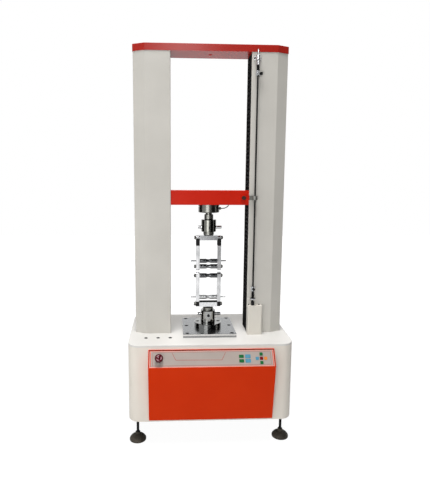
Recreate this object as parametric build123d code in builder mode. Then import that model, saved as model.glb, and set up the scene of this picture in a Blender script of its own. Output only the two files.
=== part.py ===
"""Twin-column tensile and compression testing machine, floor standing.

A sheet-metal cabinet carries two covered columns, a crown plate and a crosshead that two ball screws
raise and lower. A load cell and a pair of self-tightening roller grips hang between the crosshead and the
platen, and a limit rod with two adjustable stops runs down the right column.

Millimetres, +Z up. The operator stands at -Y, and the origin is on the floor under the middle of the machine.
"""

import math
import os

from build123d import *

# Clearances
fit = 0.05
running_gap = 0.3

# Cabinet, a rounded box of folded sheet on four levelling feet
base_width = 800.0
base_depth = 480.0
base_height = 384.0
base_corner_radius = 55.0
base_centre_y = 28.0
cabinet_wall = 2.0
cabinet_window_width = 540.0
cabinet_window_height = 250.0
cabinet_window_middle = 178.0
worktop_thickness = 10.0
worktop_edge_radius = 2.0
plug_hole_radius = 7.0
plug_hole_depth = 6.0
plug_first_x = -317.0
plug_pitch = 60.0
plug_inset = 100.0
plug_count = 3

# Levelling feet
foot_height = 126.0
foot_inset_x = 41.0
foot_inset_y = 63.0
pad_radius = 41.0
pad_rim = 7.0
pad_height = 40.0
pad_neck_radius = 12.0
stem_radius = 6.5
stem_seat = 28.0
stem_engagement = 40.0

# Welded frame inside the cabinet
pan_thickness = 6.0
post_size = 50.0
post_inset_x = 50.0
post_inset_y = 70.0
bed_margin_x = 20.0
bed_margin_y = 40.0
bed_thickness = 30.0

# Rear service panel
rear_panel_width = 580.0
rear_panel_height = 290.0
rear_panel_sheet = 2.0
louvre_length = 90.0
louvre_width = 7.0
louvre_pitch = 20.0
louvre_rows = 8
louvre_column_x = 170.0
inlet_width = 50.0
inlet_height = 32.0
inlet_stand = 5.0
inlet_recess_width = 30.0
inlet_recess_height = 20.0
inlet_recess_depth = 6.0
inlet_drop = 100.0

# Console, a folded wedge on the cabinet's front
console_width = 600.0
console_sheet = 2.0
console_root = 6.0
console_ridge = 53.0
console_top_drop = 21.5
console_slope_drop = 68.9
console_foot_rise = 9.0
console_edge_radius = 3.0

# Control overlay, emergency stop and keys, measured on the sloping face
overlay_width = 576.0
overlay_height = 69.0
overlay_thickness = 1.5
overlay_corner_radius = 3.0
estop_x = -249.5
estop_head_radius = 20.0
estop_head_height = 14.0
estop_crown = 6.0
estop_under = 3.0
estop_stem_radius = 8.0
estop_stem_depth = 12.0
estop_collar_radius = 15.0
estop_collar_height = 6.0
estop_stroke_room = 8.0
key_gap = 0.35
key_stand = 1.2
key_flange = 1.0
key_corner_radius = 3.0
key_edge_radius = 0.5
function_key_row = 10.5
function_key_drop = 2.5
green_key_x = 139.0
green_key_width = 23.0
green_key_height = 15.0
blue_key_x = 170.0
blue_key_width = 26.0
blue_key_height = 17.0
jog_x = 234.0
jog_drop = 2.5
jog_pitch = 20.0
jog_key_size = 15.0

# Columns
column_gap = 388.0
column_setback = 75.0
column_depth = 125.0
column_front_width = 125.0
column_chamfer_width = 54.7
column_chamfer_depth = 25.0
column_height = 1382.0
column_sheet = 2.0
column_edge_radius = 4.0
column_lip = 6.0

# Crown plate
crown_thickness = 33.0
crown_overhang = 2.0
crown_corner_radius = 3.0
crown_hole_radius = 10.0
crown_seat = 15.0

# Guide rods and ball screws
guide_from_inner = 41.0
guide_radius = 17.5
guide_seat = 25.0
guide_hole_gap = 2.0
screw_from_inner = 106.0
screw_radius = 12.5
screw_hole_gap = 2.0
screw_journal_radius = 10.0
screw_tip_radius = 8.5
lower_bearing_radius = 26.0
upper_bearing_radius = 28.0
upper_bearing_height = 22.0

# Belt drive under the bed
pulley_drop = 20.0
pulley_width = 25.0
pulley_flange = 2.0
pulley_rim = 4.0
screw_pulley_radius = 38.0
motor_pulley_radius = 28.5
belt_thickness = 3.0
motor_from_back = 110.0
motor_size = 110.0
motor_corner_radius = 12.0
motor_body_height = 190.0
motor_shaft_radius = 9.5
motor_shaft_seat = 30.0
gearbox_radius = 45.0
gearbox_clear = 6.0
servo_drive_x = -210.0
servo_drive_from_back = 115.0
servo_drive_width = 90.0
servo_drive_depth = 150.0
servo_drive_height = 210.0
servo_fin_depth = 14.0
servo_fin_width = 4.0
servo_fin_count = 8

# Platen and lower socket
platen_size = 266.0
platen_thickness = 18.4
platen_edge = 1.0
platen_bolt_inset_x = 21.0
platen_bolt_inset_y = 15.0
platen_bolt_radius = 6.5
platen_counterbore_radius = 10.0
platen_counterbore_depth = 11.0
flange_radius = 70.0
flange_thickness = 24.6
flange_bolt_circle = 54.0
flange_bolt_radius = 5.5
flange_counterbore_radius = 9.0
flange_counterbore_depth = 10.0
flange_bolt_count = 4
socket_radius = 38.0
socket_height = 62.0
socket_edge = 2.0
socket_bore_depth = 45.0
set_screw_radius = 4.0
set_screw_depth = 12.0

# Cross pins and lock nuts
pin_radius = 8.5
pin_from_mouth = 22.0
pin_left = 54.0
pin_length = 120.0
pin_edge = 1.5
lock_nut_radius = 27.0
lock_nut_height = 20.0
lock_nut_chamfer = 5.0
lock_nut_notches = 6
lock_notch_width = 7.0
lock_notch_depth = 4.0
lock_notch_height = 9.0

# Grips
shank_radius = 15.0
shank_entry = 40.0
grip_half_width = 46.0
yoke_height = 24.0
grip_depth = 36.0
grip_length = 150.0
grip_gap = 12.0
side_plate_thickness = 18.0
side_plate_end = 18.0
side_plate_corner = 8.0
stud_radius = 5.0
stud_length = 29.0
nut_half_flats = 8.5
nut_thickness = 9.0
clamp_bar_radius = 12.0
clamp_bar_waist = 9.0
waist_half_width = 13.0
waist_flat = 4.0
loose_roller_radius = 11.0
loose_roller_waist = 8.5
loose_roller_side_gap = 0.5
loose_axle_radius = 3.0
loose_axle_half_length = 91.0
loose_near = 29.0
loose_travel = 85.0

# Load cell and its lead
cell_radius = 53.5
cell_height = 40.0
cell_chamfer = 3.0
cell_groove_depth = 2.0
cell_groove_height = 4.0
cell_boss_radius = 16.5
cell_boss_height = 10.0
cell_stud_radius = 12.0
cell_stud_entry = 20.0
cell_nut_radius = 23.0
cell_nut_height = 26.0
cell_nut_chamfer = 2.0
spanner_hole_radius = 3.0
spanner_hole_depth = 6.0
gland_radius = 7.0
gland_tip_radius = 4.0
gland_reach = 9.0
gland_drop = 20.0
lead_radius = 2.25
lead_hole_depth = 8.0

# Crosshead
crosshead_height = 72.0
crosshead_lip_gap = 2.0
crosshead_tail = 9.0
crosshead_edge_radius = 2.0
bush_radius = 26.0
ball_nut_radius = 20.0
ball_nut_flange_radius = 27.0
ball_nut_flange_height = 12.0

# Bellows in the columns' inner slots
bellows_side_gap = 1.0
bellows_inset = 1.5
bellows_fold = 14.0
bellows_skin = 1.5
bellows_pitch = 22.0

# Limit rod, its guides, stops and switch box
rod_from_inner = 26.0
rod_stand = 17.5
rod_radius = 4.0
rod_above_column = 8.0
rod_in_box = 30.0
rod_guide_fit = 0.1
switch_box_width = 72.0
switch_box_height = 149.0
switch_box_wall = 2.0
switch_box_corner = 4.0
switch_width = 24.0
switch_depth = 18.0
switch_height = 46.0
switch_drop = 22.0
box_bush_radius = 8.0
box_bush_height = 20.0
box_bush_spigot_radius = 6.0
lower_collar_radius = 14.0
lower_collar_height = 6.0
lower_collar_room = 11.0
lower_spring_length = 38.0
guide_eye_radius = 11.0
guide_eye_height = 20.0
guide_eye_drop = 19.0
guide_plate_width = 36.0
guide_plate_thickness = 4.0
guide_web_width = 12.0
upper_collar_radius = 9.0
upper_collar_height = 18.0
upper_collar_room = 7.0
upper_spring_length = 27.0
spring_radius = 7.0
stop_radius = 10.0
stop_height = 22.0
stop_room = 0.4
knob_radius = 7.0
knob_length = 12.0
knob_edge_radius = 1.5
knob_stand = 0.5
knob_screw_radius = 2.5
knob_screw_tip = 4.3

# Trigger arm on the crosshead
arm_height = 20.0
arm_thickness = 8.0
arm_clear = 2.0
arm_bolt_from_inner = 28.0
arm_end_margin = 12.0
arm_eye_radius = 13.0
arm_eye_bore = 5.0
arm_boss_radius = 12.0
arm_bolt_half_flats = 9.5
arm_bolt_head = 8.0

# Places that follow from the sizes above
base_top = foot_height + base_height
bed_top = base_top - worktop_thickness
bed_bottom = bed_top - bed_thickness
base_front_y = base_centre_y - base_depth / 2
base_back_y = base_centre_y + base_depth / 2
foot_x = base_width / 2 - foot_inset_x
foot_y = base_depth / 2 - foot_inset_y
post_x = base_width / 2 - post_inset_x
post_y = base_depth / 2 - post_inset_y
window_z = base_top - cabinet_window_middle

column_inner_x = column_gap / 2
column_outer_x = column_inner_x + column_front_width + column_chamfer_width
column_front_y = base_centre_y - column_setback
column_back_y = column_front_y + column_depth
column_centre_y = column_front_y + column_depth / 2
column_top = base_top + column_height
guide_x = column_inner_x + guide_from_inner
screw_x = column_inner_x + screw_from_inner

# The load string, stacked from the platen up to the crosshead
platen_top = base_top + platen_thickness
platen_bolt_x = platen_size / 2 - platen_bolt_inset_x
platen_bolt_y = platen_size / 2 - platen_bolt_inset_y
lower_mouth = platen_top + flange_thickness + socket_height
lower_yoke_z = lower_mouth + lock_nut_height + yoke_height / 2
lower_clamp_z = lower_yoke_z + grip_length
upper_clamp_z = lower_clamp_z + 2 * side_plate_end + grip_gap
upper_yoke_z = upper_clamp_z + grip_length
upper_mouth = upper_yoke_z + yoke_height / 2 + lock_nut_height
upper_socket_top = upper_mouth + socket_height
cell_bottom = upper_socket_top + cell_nut_height + cell_boss_height
crosshead_bottom = cell_bottom + cell_height
crosshead_top = crosshead_bottom + crosshead_height
crosshead_middle = crosshead_bottom + crosshead_height / 2
crosshead_depth = column_depth - 2 * column_lip - 2 * crosshead_lip_gap
crosshead_front_y = column_centre_y - crosshead_depth / 2
crosshead_half_length = column_inner_x + column_front_width + crosshead_tail

pulley_top = bed_bottom - pulley_drop
pulley_bottom = pulley_top - pulley_width
pan_top = foot_height + pan_thickness
motor_y = base_back_y - motor_from_back
servo_drive_y = base_back_y - servo_drive_from_back
motor_top = pulley_bottom - gearbox_clear

# The console's sloping face, with y running up the slope and z standing out of it
slope_run = console_ridge - console_root
slope_length = math.hypot(slope_run, console_slope_drop)
slope_top_z = base_top - console_top_drop
ridge_z = slope_top_z - console_slope_drop
face_normal = (0, -console_slope_drop / slope_length, slope_run / slope_length)
face = Plane(
    origin=(0, base_front_y - console_root - slope_run / 2, slope_top_z - console_slope_drop / 2),
    x_dir=(1, 0, 0),
    z_dir=face_normal,
)
outward = Axis(face.origin, face.z_dir)

rod_x = column_inner_x + rod_from_inner
rod_y = column_front_y - rod_stand
switch_box_top = base_top + switch_box_height
lower_collar_z = switch_box_top + box_bush_height + lower_collar_room
lower_stop_z = lower_collar_z + lower_collar_height + lower_spring_length + stop_room
guide_eye_z = column_top - guide_eye_drop - guide_eye_height
upper_collar_z = guide_eye_z - upper_collar_room - upper_collar_height
upper_stop_z = upper_collar_z - upper_spring_length - stop_room - stop_height

both_sides = {"left": -1, "right": 1}

os.makedirs("parts", exist_ok=True)


def save(piece, label):
    piece.part.label = label
    export_step(piece.part, f"parts/{label}.step")


def turned(profile, x, y):
    """A piece turned about the upright axis through (x, y), from its (radius, height) outline."""
    with BuildPart() as piece:
        with BuildSketch(Plane.XZ.offset(-y)):
            with BuildLine():
                Polyline(*[(x + radius, height) for radius, height in profile], close=True)
            make_face()
        revolve(axis=Axis((x, y, 0), (0, 0, 1)))
    return piece


# Cabinet shell: a rounded tube with a window behind the console and another behind the rear panel
with BuildPart() as cabinet_shell:
    with BuildSketch(Plane.XY.offset(foot_height)):
        with Locations((0, base_centre_y)):
            RectangleRounded(base_width, base_depth, base_corner_radius)
            RectangleRounded(
                base_width - 2 * cabinet_wall,
                base_depth - 2 * cabinet_wall,
                base_corner_radius - cabinet_wall,
                mode=Mode.SUBTRACT,
            )
    extrude(amount=bed_top - foot_height)
    with BuildSketch(Plane.XZ.offset(-base_centre_y)):
        with Locations((0, window_z)):
            Rectangle(cabinet_window_width, cabinet_window_height)
    extrude(amount=base_depth, both=True, mode=Mode.SUBTRACT)
save(cabinet_shell, "cabinet_shell")

# Worktop: the painted top plate, drilled where the rods and screws rise into the columns
with BuildPart() as worktop:
    with BuildSketch(Plane.XY.offset(bed_top)):
        with Locations((0, base_centre_y)):
            RectangleRounded(base_width, base_depth, base_corner_radius)
        for side in both_sides.values():
            with Locations((side * guide_x, column_centre_y)):
                Circle(guide_radius + guide_hole_gap, mode=Mode.SUBTRACT)
            with Locations((side * screw_x, column_centre_y)):
                Circle(screw_radius + screw_hole_gap, mode=Mode.SUBTRACT)
    extrude(amount=worktop_thickness)
    fillet(worktop.faces().sort_by(Axis.Z)[-1].outer_wire().edges(), worktop_edge_radius)
    with BuildSketch(Plane.XY.offset(base_top)):
        for number in range(plug_count):
            with Locations((plug_first_x + number * plug_pitch, base_front_y + plug_inset)):
                Circle(plug_hole_radius)
    extrude(amount=-plug_hole_depth, mode=Mode.SUBTRACT)
save(worktop, "worktop")

# Welded frame: floor pan, four posts and the thick bed that the rods, screws and platen stand on
with BuildPart() as base_frame:
    with BuildSketch(Plane.XY.offset(foot_height)):
        with Locations((0, base_centre_y)):
            RectangleRounded(
                base_width - 2 * (cabinet_wall + running_gap),
                base_depth - 2 * (cabinet_wall + running_gap),
                base_corner_radius - cabinet_wall - running_gap,
            )
    extrude(amount=pan_thickness)
    with BuildSketch(Plane.XY.offset(foot_height)):
        with Locations((0, base_centre_y)):
            with GridLocations(2 * post_x, 2 * post_y, 2, 2):
                Rectangle(post_size, post_size)
    extrude(amount=bed_top - foot_height)
    with BuildSketch(Plane.XY.offset(bed_bottom)):
        with Locations((0, base_centre_y)):
            Rectangle(base_width - 2 * bed_margin_x, base_depth - 2 * bed_margin_y)
    extrude(amount=bed_thickness)
    with BuildSketch(Plane.XY.offset(foot_height)):
        with Locations((0, base_centre_y)):
            with GridLocations(2 * foot_x, 2 * foot_y, 2, 2):
                Circle(stem_radius + fit)
    extrude(amount=stem_engagement, mode=Mode.SUBTRACT)
    with BuildSketch(Plane.XY.offset(bed_top)):
        with Locations((0, column_centre_y)):
            with GridLocations(2 * guide_x, 0, 2, 1):
                Circle(guide_radius + fit)
    extrude(amount=-guide_seat, mode=Mode.SUBTRACT)
    with BuildSketch(Plane.XY.offset(bed_top)):
        with Locations((0, column_centre_y)):
            with GridLocations(2 * screw_x, 0, 2, 1):
                Circle(lower_bearing_radius + fit)
    extrude(amount=-bed_thickness, mode=Mode.SUBTRACT)
save(base_frame, "base_frame")

# Rear service panel: louvred sheet with the mains inlet
with BuildPart() as rear_panel:
    with BuildSketch(Plane.XZ.offset(-base_back_y)):
        with Locations((0, window_z)):
            RectangleRounded(rear_panel_width, rear_panel_height, console_edge_radius)
            with GridLocations(2 * louvre_column_x, louvre_pitch, 2, louvre_rows):
                SlotOverall(louvre_length, louvre_width, mode=Mode.SUBTRACT)
    extrude(amount=-rear_panel_sheet)
    with BuildSketch(Plane.XZ.offset(-base_back_y - rear_panel_sheet)):
        with Locations((0, window_z - inlet_drop)):
            RectangleRounded(inlet_width, inlet_height, console_edge_radius)
    extrude(amount=-inlet_stand)
    with BuildSketch(Plane.XZ.offset(-base_back_y - rear_panel_sheet - inlet_stand)):
        with Locations((0, window_z - inlet_drop)):
            RectangleRounded(inlet_recess_width, inlet_recess_height, console_edge_radius)
    extrude(amount=inlet_recess_depth, mode=Mode.SUBTRACT)
save(rear_panel, "rear_panel")

# Feet: rubber mushroom pads on slim threaded stems
with BuildPart() as foot_pads:
    for x in (-foot_x, foot_x):
        for y in (base_centre_y - foot_y, base_centre_y + foot_y):
            with BuildSketch(Plane.XZ.offset(-y)):
                with BuildLine():
                    bottom = Line((x, 0), (x + pad_radius, 0))
                    rim = Line(bottom @ 1, (x + pad_radius, pad_rim))
                    shoulder = (x + pad_neck_radius, pad_height * 0.7)
                    crown = RadiusArc(rim @ 1, shoulder, -pad_radius)
                    neck = Line(crown @ 1, (x + pad_neck_radius, pad_height))
                    seat_x = x + stem_radius + fit
                    mouth = Line(neck @ 1, (seat_x, pad_height))
                    bore = Line(mouth @ 1, (seat_x, pad_height - stem_seat))
                    floor = Line(bore @ 1, (x, pad_height - stem_seat))
                    Line(floor @ 1, bottom @ 0)
                make_face()
            revolve(axis=Axis((x, y, 0), (0, 0, 1)))
save(foot_pads, "foot_pads")

with BuildPart() as foot_stems:
    with BuildSketch(Plane.XY.offset(pad_height - stem_seat)):
        with Locations((0, base_centre_y)):
            with GridLocations(2 * foot_x, 2 * foot_y, 2, 2):
                Circle(stem_radius)
    extrude(amount=foot_height + stem_engagement - pad_height + stem_seat)
save(foot_stems, "foot_stems")

# Keys: name, place on the sloping face, size and corner radius
function_rows = (function_key_row - function_key_drop, -function_key_row - function_key_drop)
key_table = {
    "green_key_upper": (green_key_x, function_rows[0], green_key_width, green_key_height),
    "green_key_lower": (green_key_x, function_rows[1], green_key_width, green_key_height),
    "blue_key_upper": (blue_key_x, function_rows[0], blue_key_width, blue_key_height),
    "blue_key_lower": (blue_key_x, function_rows[1], blue_key_width, blue_key_height),
    "jog_up_key": (jog_x, jog_pitch - jog_drop, jog_key_size, jog_key_size),
    "jog_down_key": (jog_x, -jog_pitch - jog_drop, jog_key_size, jog_key_size),
    "jog_left_key": (jog_x - jog_pitch, -jog_drop, jog_key_size, jog_key_size),
    "jog_right_key": (jog_x + jog_pitch, -jog_drop, jog_key_size, jog_key_size),
    "stop_key": (jog_x, -jog_drop, jog_key_size, jog_key_size),
}

# Console: a folded wedge, open at the back, with the cut-outs for the stop and the keys
with BuildPart() as console_shell:
    with BuildSketch(Plane.YZ.offset(-console_width / 2)):
        with BuildLine():
            Polyline(
                (base_front_y, slope_top_z),
                (base_front_y - console_root, slope_top_z),
                (base_front_y - console_ridge, ridge_z),
                (base_front_y - console_root, foot_height + console_foot_rise),
                (base_front_y, foot_height + console_foot_rise),
                close=True,
            )
        make_face()
    extrude(amount=console_width)
    ridge = console_shell.edges().filter_by(Axis.X).sort_by(Axis.Y)[0]
    fillet(ridge, console_edge_radius)
    back = console_shell.faces().sort_by(Axis.Y)[-1]
    offset(amount=-console_sheet, openings=back, kind=Kind.INTERSECTION)
    with BuildSketch(face):
        with Locations((estop_x, 0)):
            Circle(estop_stem_radius + running_gap)
        for x, y, width, height in key_table.values():
            with Locations((x, y)):
                RectangleRounded(width + 2 * key_gap, height + 2 * key_gap, key_corner_radius)
    extrude(amount=-2 * console_sheet, mode=Mode.SUBTRACT)
save(console_shell, "console_shell")

# Overlay: the grey label plate on the sloping face
with BuildPart() as control_overlay:
    with BuildSketch(face):
        RectangleRounded(overlay_width, overlay_height, overlay_corner_radius)
        with Locations((estop_x, 0)):
            Circle(estop_stem_radius + running_gap, mode=Mode.SUBTRACT)
        for x, y, width, height in key_table.values():
            with Locations((x, y)):
                RectangleRounded(
                    width + 2 * key_gap, height + 2 * key_gap, key_corner_radius, mode=Mode.SUBTRACT
                )
    extrude(amount=overlay_thickness)
save(control_overlay, "control_overlay")

# Each key is a cap through the overlay and the sheet, kept in by a flange behind the sheet
for label, (x, y, width, height) in key_table.items():
    with BuildPart() as key:
        with BuildSketch(face.offset(-console_sheet - running_gap)):
            with Locations((x, y)):
                RectangleRounded(width, height, key_corner_radius)
        extrude(amount=console_sheet + running_gap + overlay_thickness + key_stand)
        fillet(key.edges().group_by(outward)[-1], key_edge_radius)
        with BuildSketch(face.offset(-console_sheet - running_gap)):
            with Locations((x, y)):
                RectangleRounded(width + 2, height + 2, key_corner_radius)
        extrude(amount=-key_flange)
    save(key, label)

# Emergency stop: a collar on the overlay and a mushroom head on a stem
collar_top = overlay_thickness + estop_collar_height
head_bottom = collar_top + estop_stroke_room

with BuildPart() as estop_collar:
    with BuildSketch(face.offset(overlay_thickness)):
        with Locations((estop_x, 0)):
            Circle(estop_collar_radius)
            Circle(estop_stem_radius + running_gap, mode=Mode.SUBTRACT)
    extrude(amount=estop_collar_height)
    rim = estop_collar.edges().group_by(outward)[-1].sort_by(SortBy.LENGTH)[-1]
    chamfer(rim, overlay_thickness)
save(estop_collar, "estop_collar")

with BuildPart() as estop_button:
    with BuildSketch(face.offset(head_bottom)):
        with Locations((estop_x, 0)):
            Circle(estop_head_radius)
    extrude(amount=estop_head_height)
    fillet(estop_button.edges().group_by(outward)[-1], estop_crown)
    chamfer(estop_button.edges().group_by(outward)[0], estop_under)
    with BuildSketch(face.offset(-estop_stem_depth)):
        with Locations((estop_x, 0)):
            Circle(estop_stem_radius)
    extrude(amount=estop_stem_depth + head_bottom)
save(estop_button, "estop_button")


# Column covers: folded sheet, open on the inner face where the crosshead runs
def column_cover(side):
    outline = [
        (column_inner_x, column_front_y),
        (column_inner_x + column_front_width, column_front_y),
        (column_outer_x, column_front_y + column_chamfer_depth),
        (column_outer_x, column_back_y),
        (column_inner_x, column_back_y),
    ]
    with BuildPart() as cover:
        with BuildSketch(Plane.XY.offset(base_top)) as section:
            with BuildLine():
                Polyline(*[(side * x, y) for x, y in outline], close=True)
            make_face()
            fillet(section.vertices(), column_edge_radius)
            offset(section.sketch, amount=-column_sheet, mode=Mode.SUBTRACT)
            with Locations((side * column_inner_x, column_centre_y)):
                Rectangle(4 * column_sheet, column_depth - 2 * column_lip, mode=Mode.SUBTRACT)
        extrude(amount=column_height)
    return cover


for name, side in both_sides.items():
    save(column_cover(side), f"{name}_column_cover")

# Crown plate: the red plate that ties the column tops, with a hanging hole in the middle
with BuildPart() as crown_plate:
    with BuildSketch(Plane.XY.offset(column_top)) as section:
        wide = column_outer_x + crown_overhang
        flat = column_inner_x + column_front_width
        with BuildLine():
            Polyline(
                (-wide, column_back_y + crown_overhang),
                (wide, column_back_y + crown_overhang),
                (wide, column_front_y + column_chamfer_depth - crown_overhang),
                (flat, column_front_y - crown_overhang),
                (-flat, column_front_y - crown_overhang),
                (-wide, column_front_y + column_chamfer_depth - crown_overhang),
                close=True,
            )
        make_face()
        fillet(section.vertices(), crown_corner_radius)
        with Locations((0, column_centre_y)):
            Circle(crown_hole_radius, mode=Mode.SUBTRACT)
    extrude(amount=crown_thickness)
    fillet(crown_plate.faces().sort_by(Axis.Z)[-1].outer_wire().edges(), crown_overhang)
    with BuildSketch(Plane.XY.offset(column_top)):
        with Locations((0, column_centre_y)):
            with GridLocations(2 * guide_x, 0, 2, 1):
                Circle(guide_radius + fit)
    extrude(amount=crown_seat, mode=Mode.SUBTRACT)
save(crown_plate, "crown_plate")

# Guide rods: ground steel from the bed to the crown plate
with BuildPart() as guide_rods:
    with BuildSketch(Plane.XY.offset(bed_top - guide_seat)):
        with Locations((0, column_centre_y)):
            with GridLocations(2 * guide_x, 0, 2, 1):
                Circle(guide_radius)
    extrude(amount=column_top + crown_seat - bed_top + guide_seat)
save(guide_rods, "guide_rods")


def pulley(x, y, bore, groove):
    """A flanged belt pulley under the bed."""
    rim = groove + pulley_rim
    return turned(
        [
            (bore, pulley_bottom),
            (rim, pulley_bottom),
            (rim, pulley_bottom + pulley_flange),
            (groove, pulley_bottom + pulley_flange),
            (groove, pulley_top - pulley_flange),
            (rim, pulley_top - pulley_flange),
            (rim, pulley_top),
            (bore, pulley_top),
        ],
        x,
        y,
    )


# Ball screws with their pulleys, and the bearings at both ends
def ball_screw(side):
    x = side * screw_x
    upper_bearing_z = column_top - upper_bearing_height
    shaft = turned(
        [
            (0, pulley_bottom),
            (screw_journal_radius, pulley_bottom),
            (screw_journal_radius, bed_top + running_gap),
            (screw_radius, bed_top + running_gap),
            (screw_radius, upper_bearing_z - running_gap),
            (screw_tip_radius, upper_bearing_z - running_gap),
            (screw_tip_radius, column_top - running_gap),
            (0, column_top - running_gap),
        ],
        x,
        column_centre_y,
    )
    wheel = pulley(x, column_centre_y, screw_journal_radius + fit, screw_pulley_radius)
    with BuildPart() as screw:
        add(shaft.part)
        add(wheel.part)
    return screw


for name, side in both_sides.items():
    save(ball_screw(side), f"{name}_ball_screw")

with BuildPart() as screw_bearings:
    with BuildSketch(Plane.XY.offset(bed_bottom)):
        with Locations((0, column_centre_y)):
            with GridLocations(2 * screw_x, 0, 2, 1):
                Circle(lower_bearing_radius)
                Circle(screw_journal_radius + fit, mode=Mode.SUBTRACT)
    extrude(amount=bed_thickness)
    with BuildSketch(Plane.XY.offset(column_top)):
        with Locations((0, column_centre_y)):
            with GridLocations(2 * screw_x, 0, 2, 1):
                Circle(upper_bearing_radius)
                Circle(screw_tip_radius + fit, mode=Mode.SUBTRACT)
    extrude(amount=-upper_bearing_height)
save(screw_bearings, "screw_bearings")

# Drive: an upright gear motor on the floor pan, its pulley, and the belt round all three pulleys
with BuildPart() as drive_motor:
    with BuildSketch(Plane.XY.offset(pan_top)):
        with Locations((0, motor_y)):
            RectangleRounded(motor_size, motor_size, motor_corner_radius)
    extrude(amount=motor_body_height)
    with BuildSketch(Plane.XY.offset(pan_top + motor_body_height)):
        with Locations((0, motor_y)):
            Circle(gearbox_radius)
    extrude(amount=motor_top - pan_top - motor_body_height)
    with BuildSketch(Plane.XY.offset(motor_top)):
        with Locations((0, motor_y)):
            Circle(motor_shaft_radius + fit)
    extrude(amount=-motor_shaft_seat, mode=Mode.SUBTRACT)
save(drive_motor, "drive_motor")

with BuildPart() as motor_pulley:
    add(pulley(0, motor_y, 0, motor_pulley_radius).part)
    with BuildSketch(Plane.XY.offset(pulley_bottom)):
        with Locations((0, motor_y)):
            Circle(motor_shaft_radius)
    extrude(amount=-gearbox_clear - motor_shaft_seat + running_gap)
save(motor_pulley, "motor_pulley")

with BuildPart() as timing_belt:
    for grow, mode in ((running_gap + belt_thickness, Mode.ADD), (running_gap, Mode.SUBTRACT)):
        with BuildSketch(Plane.XY.offset(pulley_bottom + pulley_flange + running_gap)):
            with Locations((-screw_x, column_centre_y), (screw_x, column_centre_y)):
                Circle(screw_pulley_radius + grow)
            with Locations((0, motor_y)):
                Circle(motor_pulley_radius + grow)
            make_hull()
        extrude(amount=pulley_width - 2 * (pulley_flange + running_gap), mode=mode)
save(timing_belt, "timing_belt")

with BuildPart() as servo_drive:
    with BuildSketch(Plane.XY.offset(pan_top)):
        with Locations((servo_drive_x, servo_drive_y)):
            Rectangle(servo_drive_width, servo_drive_depth)
        fin_y = servo_drive_y + (servo_drive_depth - servo_fin_depth) / 2
        with Locations((servo_drive_x, fin_y)):
            with GridLocations(servo_drive_width / servo_fin_count, 0, servo_fin_count, 1):
                Rectangle(servo_fin_width, servo_fin_depth, mode=Mode.SUBTRACT)
    extrude(amount=servo_drive_height)
save(servo_drive, "servo_drive")

# Platen: a polished square plate, counterbored for the bolts that hold it to the bed
with BuildPart() as platen:
    with BuildSketch(Plane.XY.offset(base_top)):
        with Locations((0, column_centre_y)):
            Rectangle(platen_size, platen_size)
    extrude(amount=platen_thickness)
    chamfer(platen.faces().sort_by(Axis.Z)[-1].edges(), platen_edge)
    with Locations(Plane(origin=(0, column_centre_y, platen_top))):
        with GridLocations(2 * platen_bolt_x, platen_bolt_y, 2, 3):
            CounterBoreHole(platen_bolt_radius, platen_counterbore_radius, platen_counterbore_depth)
save(platen, "platen")


def socket(mouth, up):
    """A round socket whose mouth takes a grip's shank; up is 1 when the body stands above its mouth."""
    low = min(mouth, mouth + up * socket_height)
    with BuildPart() as body:
        with BuildSketch(Plane.XY.offset(low)):
            with Locations((0, column_centre_y)):
                Circle(socket_radius)
        extrude(amount=socket_height)
        chamfer(body.edges().filter_by(GeomType.CIRCLE), socket_edge)
        with BuildSketch(Plane.XY.offset(mouth)):
            with Locations((0, column_centre_y)):
                Circle(shank_radius + fit)
        extrude(amount=up * socket_bore_depth, mode=Mode.SUBTRACT)
        with BuildSketch(Plane.YZ):
            with Locations((column_centre_y, mouth + up * pin_from_mouth)):
                Circle(pin_radius + fit)
        extrude(amount=2 * socket_radius, both=True, mode=Mode.SUBTRACT)
        with BuildSketch(Plane.XZ.offset(socket_radius - column_centre_y)):
            with Locations((0, mouth + up * pin_from_mouth)):
                Circle(set_screw_radius)
        extrude(amount=-set_screw_depth, mode=Mode.SUBTRACT)
    return body


# Lower socket: the same socket on a bolted flange
with BuildPart() as lower_socket:
    add(socket(lower_mouth, -1).part)
    with BuildSketch(Plane.XY.offset(platen_top)):
        with Locations((0, column_centre_y)):
            Circle(flange_radius)
    extrude(amount=flange_thickness)
    flange_top = platen_top + flange_thickness
    flange_rim = lower_socket.edges().filter_by(GeomType.CIRCLE).sort_by(SortBy.RADIUS)[-2:]
    chamfer(flange_rim.sort_by(Axis.Z)[-1], socket_edge)
    with Locations(Plane(origin=(0, column_centre_y, flange_top))):
        with PolarLocations(flange_bolt_circle, flange_bolt_count):
            CounterBoreHole(
                flange_bolt_radius, flange_counterbore_radius, flange_counterbore_depth, flange_thickness
            )
save(lower_socket, "lower_socket")

# Upper socket: screwed on the load cell's stud
with BuildPart() as upper_socket:
    add(socket(upper_mouth, 1).part)
    with BuildSketch(Plane.XY.offset(upper_socket_top)):
        with Locations((0, column_centre_y)):
            Circle(cell_stud_radius + fit)
    extrude(amount=-cell_stud_entry, mode=Mode.SUBTRACT)
save(upper_socket, "upper_socket")


# Cross pins that hold the grips in the sockets
def cross_pin(z):
    with BuildPart() as pin:
        with BuildSketch(Plane.YZ.offset(-pin_left)):
            with Locations((column_centre_y, z)):
                Circle(pin_radius)
        extrude(amount=pin_length)
        chamfer(pin.edges().filter_by(GeomType.CIRCLE), pin_edge)
    return pin


save(cross_pin(lower_mouth - pin_from_mouth), "lower_pin")
save(cross_pin(upper_mouth + pin_from_mouth), "upper_pin")


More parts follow.
